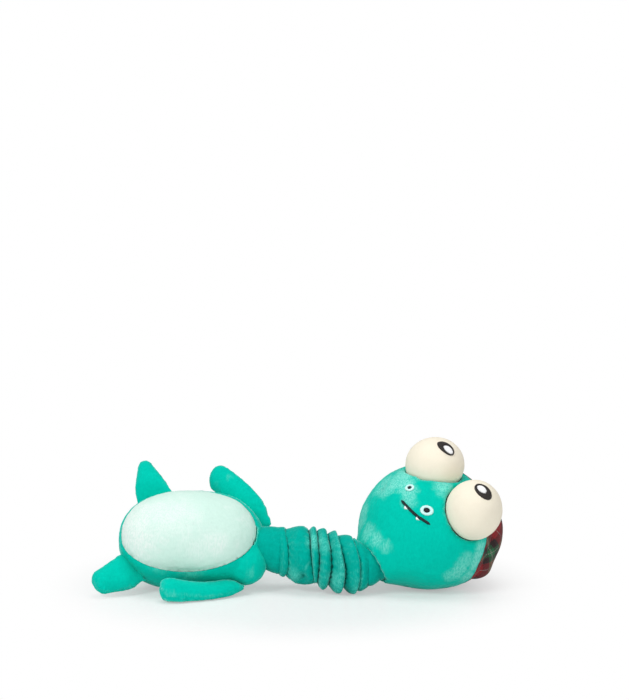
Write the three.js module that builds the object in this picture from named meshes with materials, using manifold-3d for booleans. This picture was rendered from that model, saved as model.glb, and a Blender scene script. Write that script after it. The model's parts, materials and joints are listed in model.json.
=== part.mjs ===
// A stuffed tug toy for a dog: an egg-shaped torso with four soft limbs, a gathered stretch neck
// over an elastic cord, and a round head with two ball eyes and a small stitched face.
// Millimetres, +Z up. The toy lies on its back, rolled towards -Y, the way it rests on a floor.
import * as THREE from 'three';
import { mergeVertices } from 'three/addons/utils/BufferGeometryUtils.js';
import Module from 'manifold-3d';

const wasm = await Module();
wasm.setup();

// Sizes that fit the pieces to each other
const seamGap = 0.3; // clear space between two pieces that touch
const clothWall = 3; // plush cloth with its pile
const floorPress = 0.5; // how far the floor presses a stuffed form flat
const stitchHeight = 0.8; // raised embroidery
const overrun = 6; // how far a cutting form runs past what it cuts
const farAway = 400; // larger than the toy, for the floor's cutting block

// Torso: an egg along x, with z through the middle of the belly and y across
const torso = {
  x: -73.5,
  rollDeg: 53,
  halfLength: 55,
  radius: 36,
  rumpShare: 0.83, // lower is blunter
  neckEndShare: 1.05,
};
const belly = { x: -5.2, halfLength: 48.5, halfWidth: 32.4 };
const shoulder = { centre: [-36.5, -12, 19.8], radius: 16.5 }; // the full lobe over the near arm

// Limbs: flat stuffed paddles, each hinged along the seam that holds its root. A limb reaches
// out from its seat on the torso and sweeps on, bent by an angle; flapDeg is how far it flaps.
const rootThickness = 2.4;
const plumpShare = 0.45; // of a limb's length, from its flat root to its full thickness
const arm = {
  reach: 17, bendDeg: 42, rootWidth: 12, tipWidth: 20, thickness: 11.5, tipRadius: 8,
};
const leg = {
  reach: 12, bendDeg: 0, rootWidth: 28, tipWidth: 14, thickness: 12.5, tipRadius: 6.5,
};
const limbs = {
  near_arm: {
    ...arm, sweep: 48, seatX: 36, seatDeg: -92, flapDeg: [-35, 12],
    aimShares: [-0.83, -0.54, -0.15], faceShares: [-0.1, 0.66, -0.74],
  },
  far_arm: {
    ...arm, rootWidth: 21, tipWidth: 21, sweep: 31, seatX: 45, seatDeg: 113, flapDeg: [-10, 45],
    aimShares: [-0.66, 0.55, 0.51], faceShares: [-0.25, -0.8, 0.55],
  },
  near_leg: {
    ...leg, tipWidth: 19, sweep: 16, seatX: -45, seatDeg: -84, flapDeg: [-30, 30],
    aimShares: [-0.84, -0.48, -0.25], faceShares: [0.12, -0.8, 0.6],
  },
  far_leg: {
    ...leg, sweep: 13, seatX: -32, seatDeg: 76, flapDeg: [-40, 40],
    aimShares: [-0.19, 0.75, 0.63], faceShares: [-0.33, -0.7, 0.62],
  },
};

// Head: an egg-round ball with x to its side, y to its crown and z out through its face
const head = {
  centre: [92, 6.5],
  crownShares: [0.85, 0.11, 0.518],
  faceShares: [-0.26, -0.764, 0.589],
  halfWidth: 49,
  halfHeight: 48.5,
  halfDepth: 44,
  pressShare: 0.886, // its height over the floor after its own weight has flattened it
};

// Ball eyes, each sewn into a dimple of the head; the pupil is aimed by shares of its direction
const ballRadius = 21.4;
const eyes = {
  upper: { centre: [-24.9, 29.3, 27.7], aimShares: [0.109, 0.622, 0.775], glintSide: 1.9 },
  lower: { centre: [23.1, 36.7, 28.2], aimShares: [0.038, 0.582, 0.813], glintSide: -1.5 },
};
const pupil = { halfWidth: 6.8, halfHeight: 5.4, turnDeg: -12 };
const glint = { halfWidth: 3.4, halfHeight: 2.5 };

// Stitched face, laid out on the head's front as x to the side and y to the crown
const stitchedEyes = {
  left: { at: [-13.9, 6], halfWidth: 3.7, halfHeight: 3.1, pupil: 1.3 },
  right: { at: [9.6, 7.8], halfWidth: 4.9, halfHeight: 4.2, pupil: 2 },
};
const mouth = {
  points: [[-8.8, -3], [0.3, -3], [8.2, -1.8], [12.4, 0.5], [18.9, 4.5]],
  halfWidth: 0.8,
  pointLength: 2.5,
};
const teeth = {
  left: { at: [0.9, -4.2], width: 4, drop: 2.6 },
  right: { at: [11, -2.7], width: 3.8, drop: 2.4 },
};

// Oval padded panel of check cloth on the crown and the back of the head
const panel = { backDeg: 45, centreOut: 30, halfDepth: 25, halfHeight: 31, halfWidth: 49 };

// Neck: its middle line, and the gathered sleeve round it
const neckLine = [
  [-38, 0, 34], [-26, -2.5, 31.5], [-4, -5, 26.2], [15.5, -11, 24.4],
  [33, -16.5, 20.4], [43.5, -16, 18.9],
];
const neck = {
  rootRadius: 11,
  collarRadius: 19,
  foldRadius: 20.1,
  lastFoldRadius: 18.6,
  headRadius: 13.6,
  headDepth: 45, // from the head's centre to the seam
  headAimShares: [0.164, -0.945, 0.286], // from the head's centre to the seam
  tuck: 8, // how far the sleeve runs into the head past the seam
  foldDepth: 4.4,
  folds: 8,
  collarShare: 0.4,
  lastFoldShare: 0.84,
  slant: 5, // how far a fold runs along the neck between its two sides
};
const bungeeRadius = 3;
const anchor = { width: 12, thickness: 2.4, clearance: 1.2, cordGap: 0.7 };

// Squeaker: a base disc, a reed in its bore, and a ribbed bellows that is pressed down on the base
const squeaker = {
  radius: 15,
  baseHeight: 2.6,
  spigotRadius: 11.6,
  spigotHeight: 3,
  boreRadius: 3.4,
  reedWall: 0.9,
  reedLength: 8,
  bellowsHeight: 16,
  bellowsWall: 1.1,
  ribDepth: 2.2,
  ribs: 3,
  torsoPlace: [0, 0, 9],
  headPlace: [0, -10, 6],
};

// Steps of the round forms
const steps = {
  around: 22, along: 14, innerAround: 12, innerAlong: 8, ball: 16,
  limbRing: 12, rootStations: 2, limbStations: 7, tipStations: 4, flap: 8,
  neckRing: 18, neckFrames: 48, collarRings: 5, foldRings: 4, endRings: 3, boreRings: 10,
  cordSide: 4, cordRings: 20, outline: 20, stitch: 6, squeaker: 14,
};

// Colours and finishes read from the cloths
function cloth(color, roughness = 0.95) {
  return new THREE.MeshStandardMaterial({ color, roughness, metalness: 0 });
}
const tealPlush = cloth(0x05c4ab);
const palePlush = cloth(0xdff3ea);
const creamPlush = cloth(0xf3ead6);
const fibrefill = cloth(0xf6f6f2, 1);
const blackThread = cloth(0x2b2a2c, 0.8);
const whiteThread = cloth(0xfafafa, 0.8);
const mintThread = cloth(0xc4f5ec, 0.8);
const checkCloth = cloth(0x7a1c1e);
const elastic = cloth(0xe9e6dc, 0.85);
const webbing = cloth(0x1f8f80, 0.9);
const squeakerPlastic = cloth(0xf4f1e6, 0.5);

// Radius of a faceted round whose flats lie at a given distance from its axis
function flatsAt(distance, sides) {
  return distance / Math.cos(Math.PI / sides);
}

// A closed geometry as a solid that can be joined and cut
function solidOf(geometry) {
  const bare = geometry.clone();
  bare.deleteAttribute('normal');
  bare.deleteAttribute('uv');
  const merged = mergeVertices(bare);
  return new wasm.Manifold(new wasm.Mesh({
    numProp: 3,
    vertProperties: merged.attributes.position.array,
    triVerts: merged.index.array,
  }));
}

// A solid as a geometry again
function geometryOf(solid) {
  const mesh = solid.getMesh();
  const geometry = new THREE.BufferGeometry();
  geometry.setAttribute('position', new THREE.BufferAttribute(mesh.vertProperties, mesh.numProp));
  geometry.setIndex(new THREE.BufferAttribute(mesh.triVerts, 1));
  geometry.computeVertexNormals();
  return geometry;
}

function vector(list) {
  return new THREE.Vector3(...list);
}

// A group that stands at a place with its own axes, inside another group
function frameAt(parent, name, position, x, y, z) {
  const turn = new THREE.Matrix4().makeBasis(x, y, z).setPosition(position);
  const local = parent.matrixWorld.clone().invert().multiply(turn);
  const group = new THREE.Group();
  group.name = name;
  local.decompose(group.position, group.quaternion, group.scale);
  parent.add(group);
  group.updateWorldMatrix(true, false);
  return group;
}

// A solid built in a group's own axes, as it lies in the toy
function inToy(group, solid) {
  return solid.transform(group.matrixWorld.elements);
}

// A finished solid, given as it lies in the toy, as a named mesh of its group
function addSolid(group, name, solid, material) {
  const local = solid.transform(group.matrixWorld.clone().invert().elements);
  const mesh = new THREE.Mesh(geometryOf(local), material);
  mesh.name = name;
  group.add(mesh);
}

function addGeometry(group, name, geometry, material) {
  const mesh = new THREE.Mesh(geometry, material);
  mesh.name = name;
  group.add(mesh);
}

const toy = new THREE.Group();
toy.updateWorldMatrix(true, false);
const xAxis = new THREE.Vector3(1, 0, 0);
const yAxis = new THREE.Vector3(0, 1, 0);
const zAxis = new THREE.Vector3(0, 0, 1);

// The part of a solid above the floor
const floorBlock = solidOf(new THREE.BoxGeometry(farAway, farAway, farAway)
  .translate(0, 0, farAway / 2));
function aboveFloor(solid) {
  return solid.intersect(floorBlock);
}

// Torso frame, with its z axis through the middle of the belly
const torsoRoll = THREE.MathUtils.degToRad(torso.rollDeg);
const torsoGroup = frameAt(
  toy, 'torso', new THREE.Vector3(torso.x, 0, torso.radius - floorPress), xAxis,
  yAxis.clone().applyAxisAngle(xAxis, torsoRoll), zAxis.clone().applyAxisAngle(xAxis, torsoRoll),
);

function torsoShare(x) {
  return x < 0 ? torso.rumpShare : torso.neckEndShare;
}

// Radius of the torso at a place along it
function torsoRadiusAt(x) {
  const share = torsoShare(x);
  const along = Math.pow(Math.abs(x) / torso.halfLength, 1 / share);
  return torso.radius * Math.pow(1 - Math.pow(along, 2), share / 2);
}

// The torso's egg, drawn in by an inset on every side
function torsoForm(inset, around, along) {
  const geometry = new THREE.SphereGeometry(1, around, along);
  const place = geometry.attributes.position;
  for (let i = 0; i < place.count; i += 1) {
    const share = torsoShare(place.getY(i));
    const toEnd = Math.pow(Math.abs(place.getY(i)), share) * Math.sign(place.getY(i));
    const out = Math.hypot(place.getX(i), place.getZ(i));
    const swell = out > 0 ? Math.pow(out, share) / out : 0;
    const radius = torso.radius - inset;
    place.setXYZ(
      i, toEnd * (torso.halfLength - inset),
      -place.getX(i) * swell * radius, place.getZ(i) * swell * radius,
    );
  }
  const lobe = new THREE.SphereGeometry(shoulder.radius - inset, around, along);
  return inToy(torsoGroup, solidOf(geometry))
    .add(solidOf(lobe.translate(...shoulder.centre)));
}

// An upright prism over an outline, from z 0 up, in its group's axes
function prism(group, shape, height, curveSegments = steps.outline) {
  const geometry = new THREE.ExtrudeGeometry(
    shape, { depth: height, bevelEnabled: false, curveSegments },
  );
  return inToy(group, solidOf(geometry));
}

function ellipse(x, y, halfWidth, halfHeight, turn = 0) {
  return new THREE.Shape().absellipse(x, y, halfWidth, halfHeight, 0, 2 * Math.PI, false, turn);
}

// Head axes, and the centre of the neck seam, where the head nods and turns
const crown = vector(head.crownShares).normalize();
const face = vector(head.faceShares);
face.addScaledVector(crown, -face.dot(crown)).normalize();
const side = crown.clone().cross(face);
const headReachDown = Math.hypot(
  head.halfWidth * side.z, head.halfHeight * crown.z, head.halfDepth * face.z,
);
const headCentre = new THREE.Vector3(
  ...head.centre, headReachDown * head.pressShare - floorPress,
);
const [aimSide, aimCrown, aimFace] = neck.headAimShares;
const intoHead = new THREE.Vector3().addScaledVector(side, -aimSide)
  .addScaledVector(crown, -aimCrown).addScaledVector(face, -aimFace).normalize();
const nodAxis = side.clone().addScaledVector(intoHead, -side.dot(intoHead)).normalize();
const neckSeam = headCentre.clone().addScaledVector(intoHead, -neck.headDepth);
const neckEnd = neckSeam.clone().addScaledVector(intoHead, neck.tuck);

// Neck: the middle line from inside the torso to inside the head
const neckCurve = new THREE.CatmullRomCurve3(
  [...neckLine.map(vector), neckSeam, neckEnd], false, 'centripetal',
);
const neckFrames = neckCurve.computeFrenetFrames(steps.neckFrames);
const neckLength = neckCurve.getLength();

function easeBetween(low, high, share) {
  return THREE.MathUtils.lerp(low, high, THREE.MathUtils.smoothstep(share, 0, 1));
}

// Radius of the sleeve's folds' middle at a share of the neck's length
function sleeveRadius(share) {
  if (share < neck.collarShare / 2) {
    return easeBetween(neck.rootRadius, neck.collarRadius, share / (neck.collarShare / 2));
  }
  if (share < neck.collarShare) {
    return neck.collarRadius;
  }
  if (share < neck.lastFoldShare) {
    const run = (share - neck.collarShare) / (neck.lastFoldShare - neck.collarShare);
    return easeBetween(neck.foldRadius, neck.lastFoldRadius, run);
  }
  const run = (share - neck.lastFoldShare) / (1 - neck.lastFoldShare);
  return easeBetween(neck.lastFoldRadius, neck.headRadius, run);
}

// Radius of the plain bore inside the sleeve
function boreRadiusAt(share) {
  return Math.min(neck.headRadius, sleeveRadius(share)) - clothWall;
}

// How far the gathered cloth stands in from that radius: full pillows with tight creases
function foldOffset(share) {
  const run = (share - neck.collarShare) / (neck.lastFoldShare - neck.collarShare);
  if (run <= 0 || run >= 1) {
    return 0;
  }
  const pillow = Math.sqrt(Math.abs(Math.sin(Math.PI * neck.folds * run)));
  return neck.foldDepth * (pillow - 1);
}

// A fold lies slanted across the neck: how far it is shifted along it on each side
function foldShift(share, angle) {
  const run = (share - neck.collarShare) / (neck.lastFoldShare - neck.collarShare);
  const within = Math.sin(Math.PI * Math.min(1, Math.max(0, run)));
  return (neck.slant / neckLength) * Math.sin(angle) * within;
}

function ringPoint(share, angle, radius) {
  const at = share * steps.neckFrames;
  const low = Math.min(Math.floor(at), steps.neckFrames - 1);
  const normal = neckFrames.normals[low].clone().lerp(neckFrames.normals[low + 1], at - low);
  const across = neckFrames.binormals[low].clone().lerp(neckFrames.binormals[low + 1], at - low);
  return neckCurve.getPointAt(share)
    .addScaledVector(normal.normalize(), Math.cos(angle) * radius)
    .addScaledVector(across.normalize(), Math.sin(angle) * radius);
}

// Skins rings of points, each ring as long as the next, into one closed surface
function skinRings(rings, closed) {
  const size = rings[0].length;
  const positions = rings.flat().flatMap((point) => point.toArray());
  const index = [];
  const spans = closed ? rings.length : rings.length - 1;
  for (let r = 0; r < spans; r += 1) {
    const next = (r + 1) % rings.length;
    for (let k = 0; k < size; k += 1) {
      const l = (k + 1) % size;
      index.push(r * size + k, r * size + l, next * size + k);
      index.push(r * size + l, next * size + l, next * size + k);
    }
  }
  if (!closed) {
    for (const [ring, flip] of [[0, true], [rings.length - 1, false]]) {
      const middle = positions.length / 3;
      const sum = rings[ring].reduce((total, point) => total.add(point), new THREE.Vector3());
      positions.push(...sum.divideScalar(size).toArray());
      for (let k = 0; k < size; k += 1) {
        const l = (k + 1) % size;
        const [a, b] = flip ? [l, k] : [k, l];
        index.push(ring * size + a, ring * size + b, middle);
      }
    }
  }
  const geometry = new THREE.BufferGeometry();
  geometry.setAttribute('position', new THREE.Float32BufferAttribute(positions, 3));
  geometry.setIndex(index);
  geometry.computeVertexNormals();
  return geometry;
}

function neckRing(share, radius, shiftAt = () => 0) {
  const ring = [];
  for (let k = 0; k < steps.neckRing; k += 1) {
    const angle = (2 * Math.PI * k) / steps.neckRing;
    ring.push(ringPoint(share + shiftAt(share, angle), angle, radius));
  }
  return ring;
}

// Shares of the neck's length where the sleeve has a ring: close together in the folds
function sleeveShares() {
  const spans = [
    [0, neck.collarShare, steps.collarRings],
    [neck.collarShare, neck.lastFoldShare, neck.folds * steps.foldRings],
    [neck.lastFoldShare, 1, steps.endRings],
  ];
  const shares = spans.flatMap(([from, to, count]) => Array.from(
    { length: count }, (_, i) => THREE.MathUtils.lerp(from, to, i / count),
  ));
  return [...shares, 1];
}

// The gathered sleeve: folds outside, a plain bore inside, open at both ends
function sleeveGeometry() {
  const rings = sleeveShares().map(
    (share) => neckRing(share, sleeveRadius(share) + foldOffset(share), foldShift),
  );
  for (let r = steps.boreRings; r >= 0; r -= 1) {
    rings.push(neckRing(r / steps.boreRings, boreRadiusAt(r / steps.boreRings)));
  }
  return skinRings(rings, true);
}

// The sleeve's plain outer shape with a gap round it, to cut what it passes into
function sleeveEnvelope(fromShare, toShare) {
  const rings = sleeveShares().filter((share) => share >= fromShare && share <= toShare)
    .map((share) => neckRing(share, sleeveRadius(share) + seamGap));
  return solidOf(skinRings(rings, false));
}

const neckRootCut = sleeveEnvelope(0, neck.collarShare);
const neckEndCut = sleeveEnvelope((neck.collarShare + neck.lastFoldShare) / 2, 1);
const bellyCut = prism(torsoGroup, ellipse(belly.x, 0, belly.halfLength, belly.halfWidth),
  torso.radius + overrun);
const bellyFit = prism(torsoGroup,
  ellipse(belly.x, 0, belly.halfLength - seamGap, belly.halfWidth - seamGap),
  torso.radius + overrun);

// Torso cloth with its belly panel, both sewn round the stuffing
const torsoOuter = aboveFloor(torsoForm(0, steps.around, steps.along));
const torsoShell = torsoOuter
  .subtract(torsoForm(clothWall, steps.innerAround, steps.innerAlong))
  .subtract(neckRootCut);
addSolid(torsoGroup, 'torso_plush', torsoShell.subtract(bellyCut), tealPlush);
addSolid(torsoGroup, 'belly_panel', torsoShell.intersect(bellyFit), palePlush);

// Squeaker in a group: z points out of the toy, and the bellows is pressed along -z
function squeakerProfile(points) {
  const outline = points.map(([radius, height]) => new THREE.Vector2(radius, height));
  return new THREE.LatheGeometry(outline, steps.squeaker).rotateX(Math.PI / 2);
}

function bellowsOutline(inset) {
  const outline = [];
  for (let r = 0; r <= 2 * squeaker.ribs; r += 1) {
    const share = r / (2 * squeaker.ribs);
    const inward = r % 2 === 1 ? squeaker.ribDepth : 0;
    const height = squeaker.baseHeight + seamGap
      + share * (squeaker.bellowsHeight - squeaker.bellowsWall);
    outline.push([squeaker.radius - inward - inset, height]);
  }
  return outline;
}

function addSqueaker(group, press, prefix) {
  const bore = squeaker.boreRadius;
  const seatTop = squeaker.baseHeight + squeaker.spigotHeight;
  addGeometry(group, `${prefix}_squeaker_base`, squeakerProfile([
    [bore, 0], [squeaker.radius, 0], [squeaker.radius, squeaker.baseHeight],
    [squeaker.spigotRadius, squeaker.baseHeight], [squeaker.spigotRadius, seatTop],
    [bore, seatTop], [bore, 0],
  ]), squeakerPlastic);
  const reedRadius = bore - seamGap;
  const tube = reedRadius - squeaker.reedWall;
  addGeometry(group, `${prefix}_squeaker_reed`, squeakerProfile([
    [tube, 0], [reedRadius, 0], [reedRadius, squeaker.reedLength],
    [tube, squeaker.reedLength], [tube, 0],
  ]), squeakerPlastic);
  const outer = bellowsOutline(0);
  const inner = bellowsOutline(squeaker.bellowsWall).reverse();
  const top = outer[outer.length - 1][1] + squeaker.bellowsWall;
  addGeometry(press, `${prefix}_squeaker_bellows`, squeakerProfile([
    ...outer, [squeaker.radius, top], [0, top], [0, top - squeaker.bellowsWall],
    [inner[0][0], top - squeaker.bellowsWall], ...inner.slice(1), outer[0],
  ]), squeakerPlastic);
}

// The pocket in the stuffing that holds a squeaker, open towards the cloth above it
function squeakerPocket(group, openTo) {
  const radius = flatsAt(squeaker.radius + seamGap, steps.squeaker);
  const pocket = new THREE.CylinderGeometry(radius, radius, openTo + seamGap, steps.squeaker)
    .rotateX(Math.PI / 2).translate(0, 0, (openTo - seamGap) / 2);
  return inToy(group, solidOf(pocket));
}

// Torso stuffing, with the squeaker under the middle of the belly
function axesOf(group) {
  const axes = [new THREE.Vector3(), new THREE.Vector3(), new THREE.Vector3()];
  group.matrixWorld.extractBasis(...axes);
  return axes;
}
function squeakerFrame(parent, name, forms, place) {
  return frameAt(parent, name, forms.localToWorld(vector(place)), ...axesOf(forms));
}
const fillInset = clothWall + seamGap;
const torsoSeat = squeakerFrame(
  torsoGroup, 'torso_squeaker_seat', torsoGroup, squeaker.torsoPlace,
);
const torsoPress = squeakerFrame(
  torsoGroup, 'torso_squeaker_press', torsoGroup, squeaker.torsoPlace,
);
addSolid(torsoGroup, 'torso_stuffing',
  torsoForm(fillInset, steps.innerAround, steps.innerAlong)
    .subtract(neckRootCut)
    .subtract(squeakerPocket(torsoSeat, torso.radius)),
  fibrefill);
addSqueaker(torsoSeat, torsoPress, 'torso');

// Limbs: a flat outline swept along a bent middle line, pinched at the root seam
function limbGeometry(size) {
  const pinch = rootThickness / 2;
  const bend = THREE.MathUtils.degToRad(size.bendDeg);
  const elbow = new THREE.Vector2(size.reach, 0);
  const end = elbow.clone().add(
    new THREE.Vector2(Math.cos(bend), Math.sin(bend)).multiplyScalar(size.sweep),
  );
  const line = new THREE.QuadraticBezierCurve(new THREE.Vector2(0, 0), elbow, end);
  const rings = [];
  const addRing = (centre, along, halfWidth, halfThickness) => {
    const ring = [];
    for (let k = 0; k < steps.limbRing; k += 1) {
      const angle = (2 * Math.PI * k) / steps.limbRing;
      const out = Math.cos(angle) * halfWidth;
      ring.push(new THREE.Vector3(
        centre.x - along.y * out, centre.y + along.x * out, Math.sin(angle) * halfThickness,
      ));
    }
    rings.push(ring);
  };
  const sizesAt = (share) => ({
    halfWidth: THREE.MathUtils.lerp(size.rootWidth, size.tipWidth, share) / 2,
    halfThickness: easeBetween(rootThickness, size.thickness, share / plumpShare) / 2,
  });
  const startWay = line.getTangent(0);
  for (let i = steps.rootStations; i > 0; i -= 1) {
    const turn = (Math.PI / 2) * (i / (steps.rootStations + 1));
    const back = startWay.clone().multiplyScalar(-pinch * Math.sin(turn));
    addRing(back, startWay, size.rootWidth / 2, pinch * Math.cos(turn));
  }
  for (let i = 0; i <= steps.limbStations; i += 1) {
    const share = i / steps.limbStations;
    const { halfWidth, halfThickness } = sizesAt(share);
    addRing(line.getPoint(share), line.getTangent(share), halfWidth, halfThickness);
  }
  const endWay = line.getTangent(1);
  const { halfWidth, halfThickness } = sizesAt(1);
  for (let i = 1; i <= steps.tipStations; i += 1) {
    const turn = (Math.PI / 2) * (i / (steps.tipStations + 1));
    const out = end.clone().addScaledVector(endWay, size.tipRadius * Math.sin(turn));
    addRing(out, endWay, halfWidth * Math.cos(turn), halfThickness * Math.cos(turn));
  }
  return skinRings(rings, false);
}

// The limb's frame: its origin is on the root seam, y runs along that seam, z is its flat face.
// The root is trimmed so that it clears the torso all the way through the limb's flap.
function addLimb(name, size) {
  const radius = torsoRadiusAt(size.seatX);
  const angle = THREE.MathUtils.degToRad(size.seatDeg);
  const out = new THREE.Vector3(0, Math.sin(angle), Math.cos(angle));
  const lift = radius + seamGap + rootThickness / 2;
  const seat = torsoGroup.localToWorld(out.multiplyScalar(lift).setX(size.seatX));
  const bend = THREE.MathUtils.degToRad(size.bendDeg);
  const chord = Math.atan2(size.sweep * Math.sin(bend), size.reach + size.sweep * Math.cos(bend));
  const aim = vector(size.aimShares).normalize();
  const flat = vector(size.faceShares);
  flat.addScaledVector(aim, -flat.dot(aim)).normalize();
  const reach = aim.clone().applyAxisAngle(flat, -chord);
  const group = frameAt(torsoGroup, name, seat, reach, flat.clone().cross(reach), flat);
  const clear = torsoForm(-seamGap, steps.around, steps.along);
  let body = aboveFloor(inToy(group, solidOf(limbGeometry(size)))).subtract(neckRootCut);
  const [low, high] = size.flapDeg;
  for (let i = 0; i <= steps.flap; i += 1) {
    const flap = THREE.MathUtils.degToRad(THREE.MathUtils.lerp(low, high, i / steps.flap));
    const turned = new THREE.Matrix4().makeRotationY(-flap).premultiply(group.matrixWorld)
      .multiply(group.matrixWorld.clone().invert());
    body = body.subtract(clear.transform(turned.elements));
  }
  addSolid(group, name, body.subtract(clear), tealPlush);
}

Object.entries(limbs).forEach(([name, size]) => addLimb(name, size));

// Neck group: it swings about the upright axis through the torso's end
const neckGroup = frameAt(torsoGroup, 'neck', vector(neckLine[1]), xAxis, yAxis, zAxis);
const sleeve = solidOf(sleeveGeometry());
addSolid(neckGroup, 'neck_sleeve', sleeve, tealPlush);

// Elastic cord down the sleeve, sewn at each end to a tab of webbing across the bore
const anchorHalf = anchor.thickness / 2;
const cordInset = (anchorHalf + anchor.cordGap) / neckLength;
const tabShares = { torso: neck.tuck / neckLength, head: 1 - neck.tuck / neckLength };
class StretchOfNeck extends THREE.Curve {
  getPoint(t, target = new THREE.Vector3()) {
    const low = tabShares.torso + cordInset;
    const high = tabShares.head - cordInset;
    return target.copy(neckCurve.getPointAt(THREE.MathUtils.lerp(low, high, t)));
  }
}
const cordOutline = new THREE.Shape().absarc(0, 0, bungeeRadius, 0, 2 * Math.PI, false);
addSolid(neckGroup, 'bungee_cord', solidOf(new THREE.ExtrudeGeometry(cordOutline, {
  extrudePath: new StretchOfNeck(), steps: steps.cordRings, curveSegments: steps.cordSide,
})), elastic);

function addTab(parent, name, share) {
  const along = neckCurve.getTangentAt(share);
  const across = new THREE.Vector3().crossVectors(zAxis, along).normalize();
  const rise = new THREE.Vector3().crossVectors(along, across);
  const group = frameAt(parent, name, neckCurve.getPointAt(share), along, across, rise);
  const half = Math.sqrt((boreRadiusAt(share) - anchor.clearance) ** 2 - (anchor.width / 2) ** 2);
  const tab = new THREE.BoxGeometry(anchor.thickness, anchor.width, 2 * half);
  addGeometry(group, name, tab, webbing);
}
addTab(torsoGroup, 'torso_anchor', tabShares.torso);
const neckEndGroup = frameAt(neckGroup, 'neck_end', neckSeam, xAxis, yAxis, zAxis);
addTab(neckEndGroup, 'head_anchor', tabShares.head);

// Seam ring: the turned-in seam allowances where the sleeve meets the head
const seamAxes = [nodAxis, intoHead, nodAxis.clone().cross(intoHead)];
const swivelGroup = frameAt(neckEndGroup, 'head_swivel', neckSeam, ...seamAxes);
const headGroup = frameAt(swivelGroup, 'head', neckSeam, ...seamAxes);
const ringInner = sleeveRadius(tabShares.head) + seamGap;
const ringOuter = ringInner + clothWall;
const ringHalf = clothWall;
const ringForm = new THREE.LatheGeometry([
  new THREE.Vector2(ringInner, -ringHalf), new THREE.Vector2(ringOuter, -ringHalf / 2),
  new THREE.Vector2(ringOuter, ringHalf / 2), new THREE.Vector2(ringInner, ringHalf),
  new THREE.Vector2(ringInner, -ringHalf),
], steps.neckRing);
addSolid(swivelGroup, 'neck_seam_ring',
  inToy(swivelGroup, solidOf(ringForm)).subtract(neckEndCut), tealPlush);

// Head forms, in a frame at the head's own centre
const headForms = frameAt(headGroup, 'head_forms', headCentre, side, crown, face);

// Flattens the lower half of a form towards the floor, smoothly from the head's centre down
function pressed(solid) {
  return solid.warp((point) => {
    const down = Math.max(0, (headCentre.z - point[2]) / headReachDown);
    point[2] = Math.min(point[2], headCentre.z)
      + headReachDown * (1 - head.pressShare) * down * down
      + Math.max(0, point[2] - headCentre.z);
  });
}
function headForm(grow, around, along) {
  const geometry = new THREE.SphereGeometry(1, around, along);
  geometry.scale(head.halfWidth + grow, head.halfHeight + grow, head.halfDepth + grow);
  return pressed(inToy(headForms, solidOf(geometry)));
}
function ballForm(eye, grow) {
  const geometry = new THREE.SphereGeometry(ballRadius + grow, steps.ball, steps.ball);
  return inToy(headForms, solidOf(geometry.translate(...eye.centre)));
}
function dimpled(solid, grow) {
  return solid.subtract(ballForm(eyes.upper, grow)).subtract(ballForm(eyes.lower, grow));
}
const holeRadius = flatsAt(ringOuter + seamGap, steps.neckRing);
const neckHole = inToy(headGroup, solidOf(
  new THREE.CylinderGeometry(holeRadius, holeRadius, 2 * neck.tuck + overrun, steps.neckRing),
));

// Head cloth: dimpled under the ball eyes, which can rock there, and open at the neck
const ballGap = seamGap + flatsAt(ballRadius, steps.ball) - ballRadius;
const headOuter = aboveFloor(dimpled(headForm(0, steps.around, steps.along), ballGap));
const headInner = dimpled(
  headForm(-clothWall, steps.innerAround, steps.innerAlong), ballGap + clothWall,
);
addSolid(headGroup, 'head_plush',
  headOuter.subtract(headInner).subtract(neckHole).subtract(neckEndCut), tealPlush);

// Head stuffing, with the squeaker behind the face
const headSeat = squeakerFrame(headGroup, 'head_squeaker_seat', headForms, squeaker.headPlace);
const headPress = squeakerFrame(headGroup, 'head_squeaker_press', headForms, squeaker.headPlace);
const headFill = dimpled(
  headForm(-fillInset, steps.innerAround, steps.innerAlong), ballGap + fillInset,
);
addSolid(headGroup, 'head_stuffing',
  headFill.subtract(neckHole).subtract(neckEndCut)
    .subtract(squeakerPocket(headSeat, head.halfDepth)),
  fibrefill);
addSqueaker(headSeat, headPress, 'head');

// Check panel: an oval pad on the crown and back, pressed flat where it lies on the floor
const panelBack = THREE.MathUtils.degToRad(panel.backDeg);
const panelOut = new THREE.Vector3(0, Math.cos(panelBack), -Math.sin(panelBack));
const panelUp = new THREE.Vector3(0, Math.sin(panelBack), Math.cos(panelBack));
const panelTurn = new THREE.Matrix4().makeBasis(xAxis, panelUp, panelOut.clone().negate())
  .setPosition(panelOut.clone().multiplyScalar(panel.centreOut));
const panelGeometry = new THREE.SphereGeometry(1, steps.around, steps.along);
panelGeometry.scale(panel.halfWidth, panel.halfHeight, panel.halfDepth).applyMatrix4(panelTurn);
const panelForm = pressed(inToy(headForms, solidOf(panelGeometry)));
addSolid(headGroup, 'check_panel',
  dimpled(aboveFloor(panelForm.subtract(headForm(seamGap, steps.around, steps.along))),
    ballGap),
  checkCloth);

// Embroidery on the head: a thin raised layer over the cloth, cut to its outline
const threadLayer = headForm(seamGap + stitchHeight, steps.around, steps.along)
  .subtract(headForm(seamGap, steps.around, steps.along));
function addStitching(name, shape, material, holes = []) {
  shape.holes.push(...holes);
  const outline = prism(headForms, shape, head.halfDepth + overrun, steps.stitch);
  addSolid(headGroup, name, threadLayer.intersect(outline), material);
}

for (const [sideName, eye] of Object.entries(stitchedEyes)) {
  const [x, y] = eye.at;
  addStitching(`${sideName}_stitched_eye`, ellipse(x, y, eye.halfWidth, eye.halfHeight),
    mintThread, [ellipse(x, y, eye.pupil + seamGap, eye.pupil + seamGap)]);
  addStitching(`${sideName}_stitched_pupil`, ellipse(x, y, eye.pupil, eye.pupil), blackThread);
}

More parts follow.
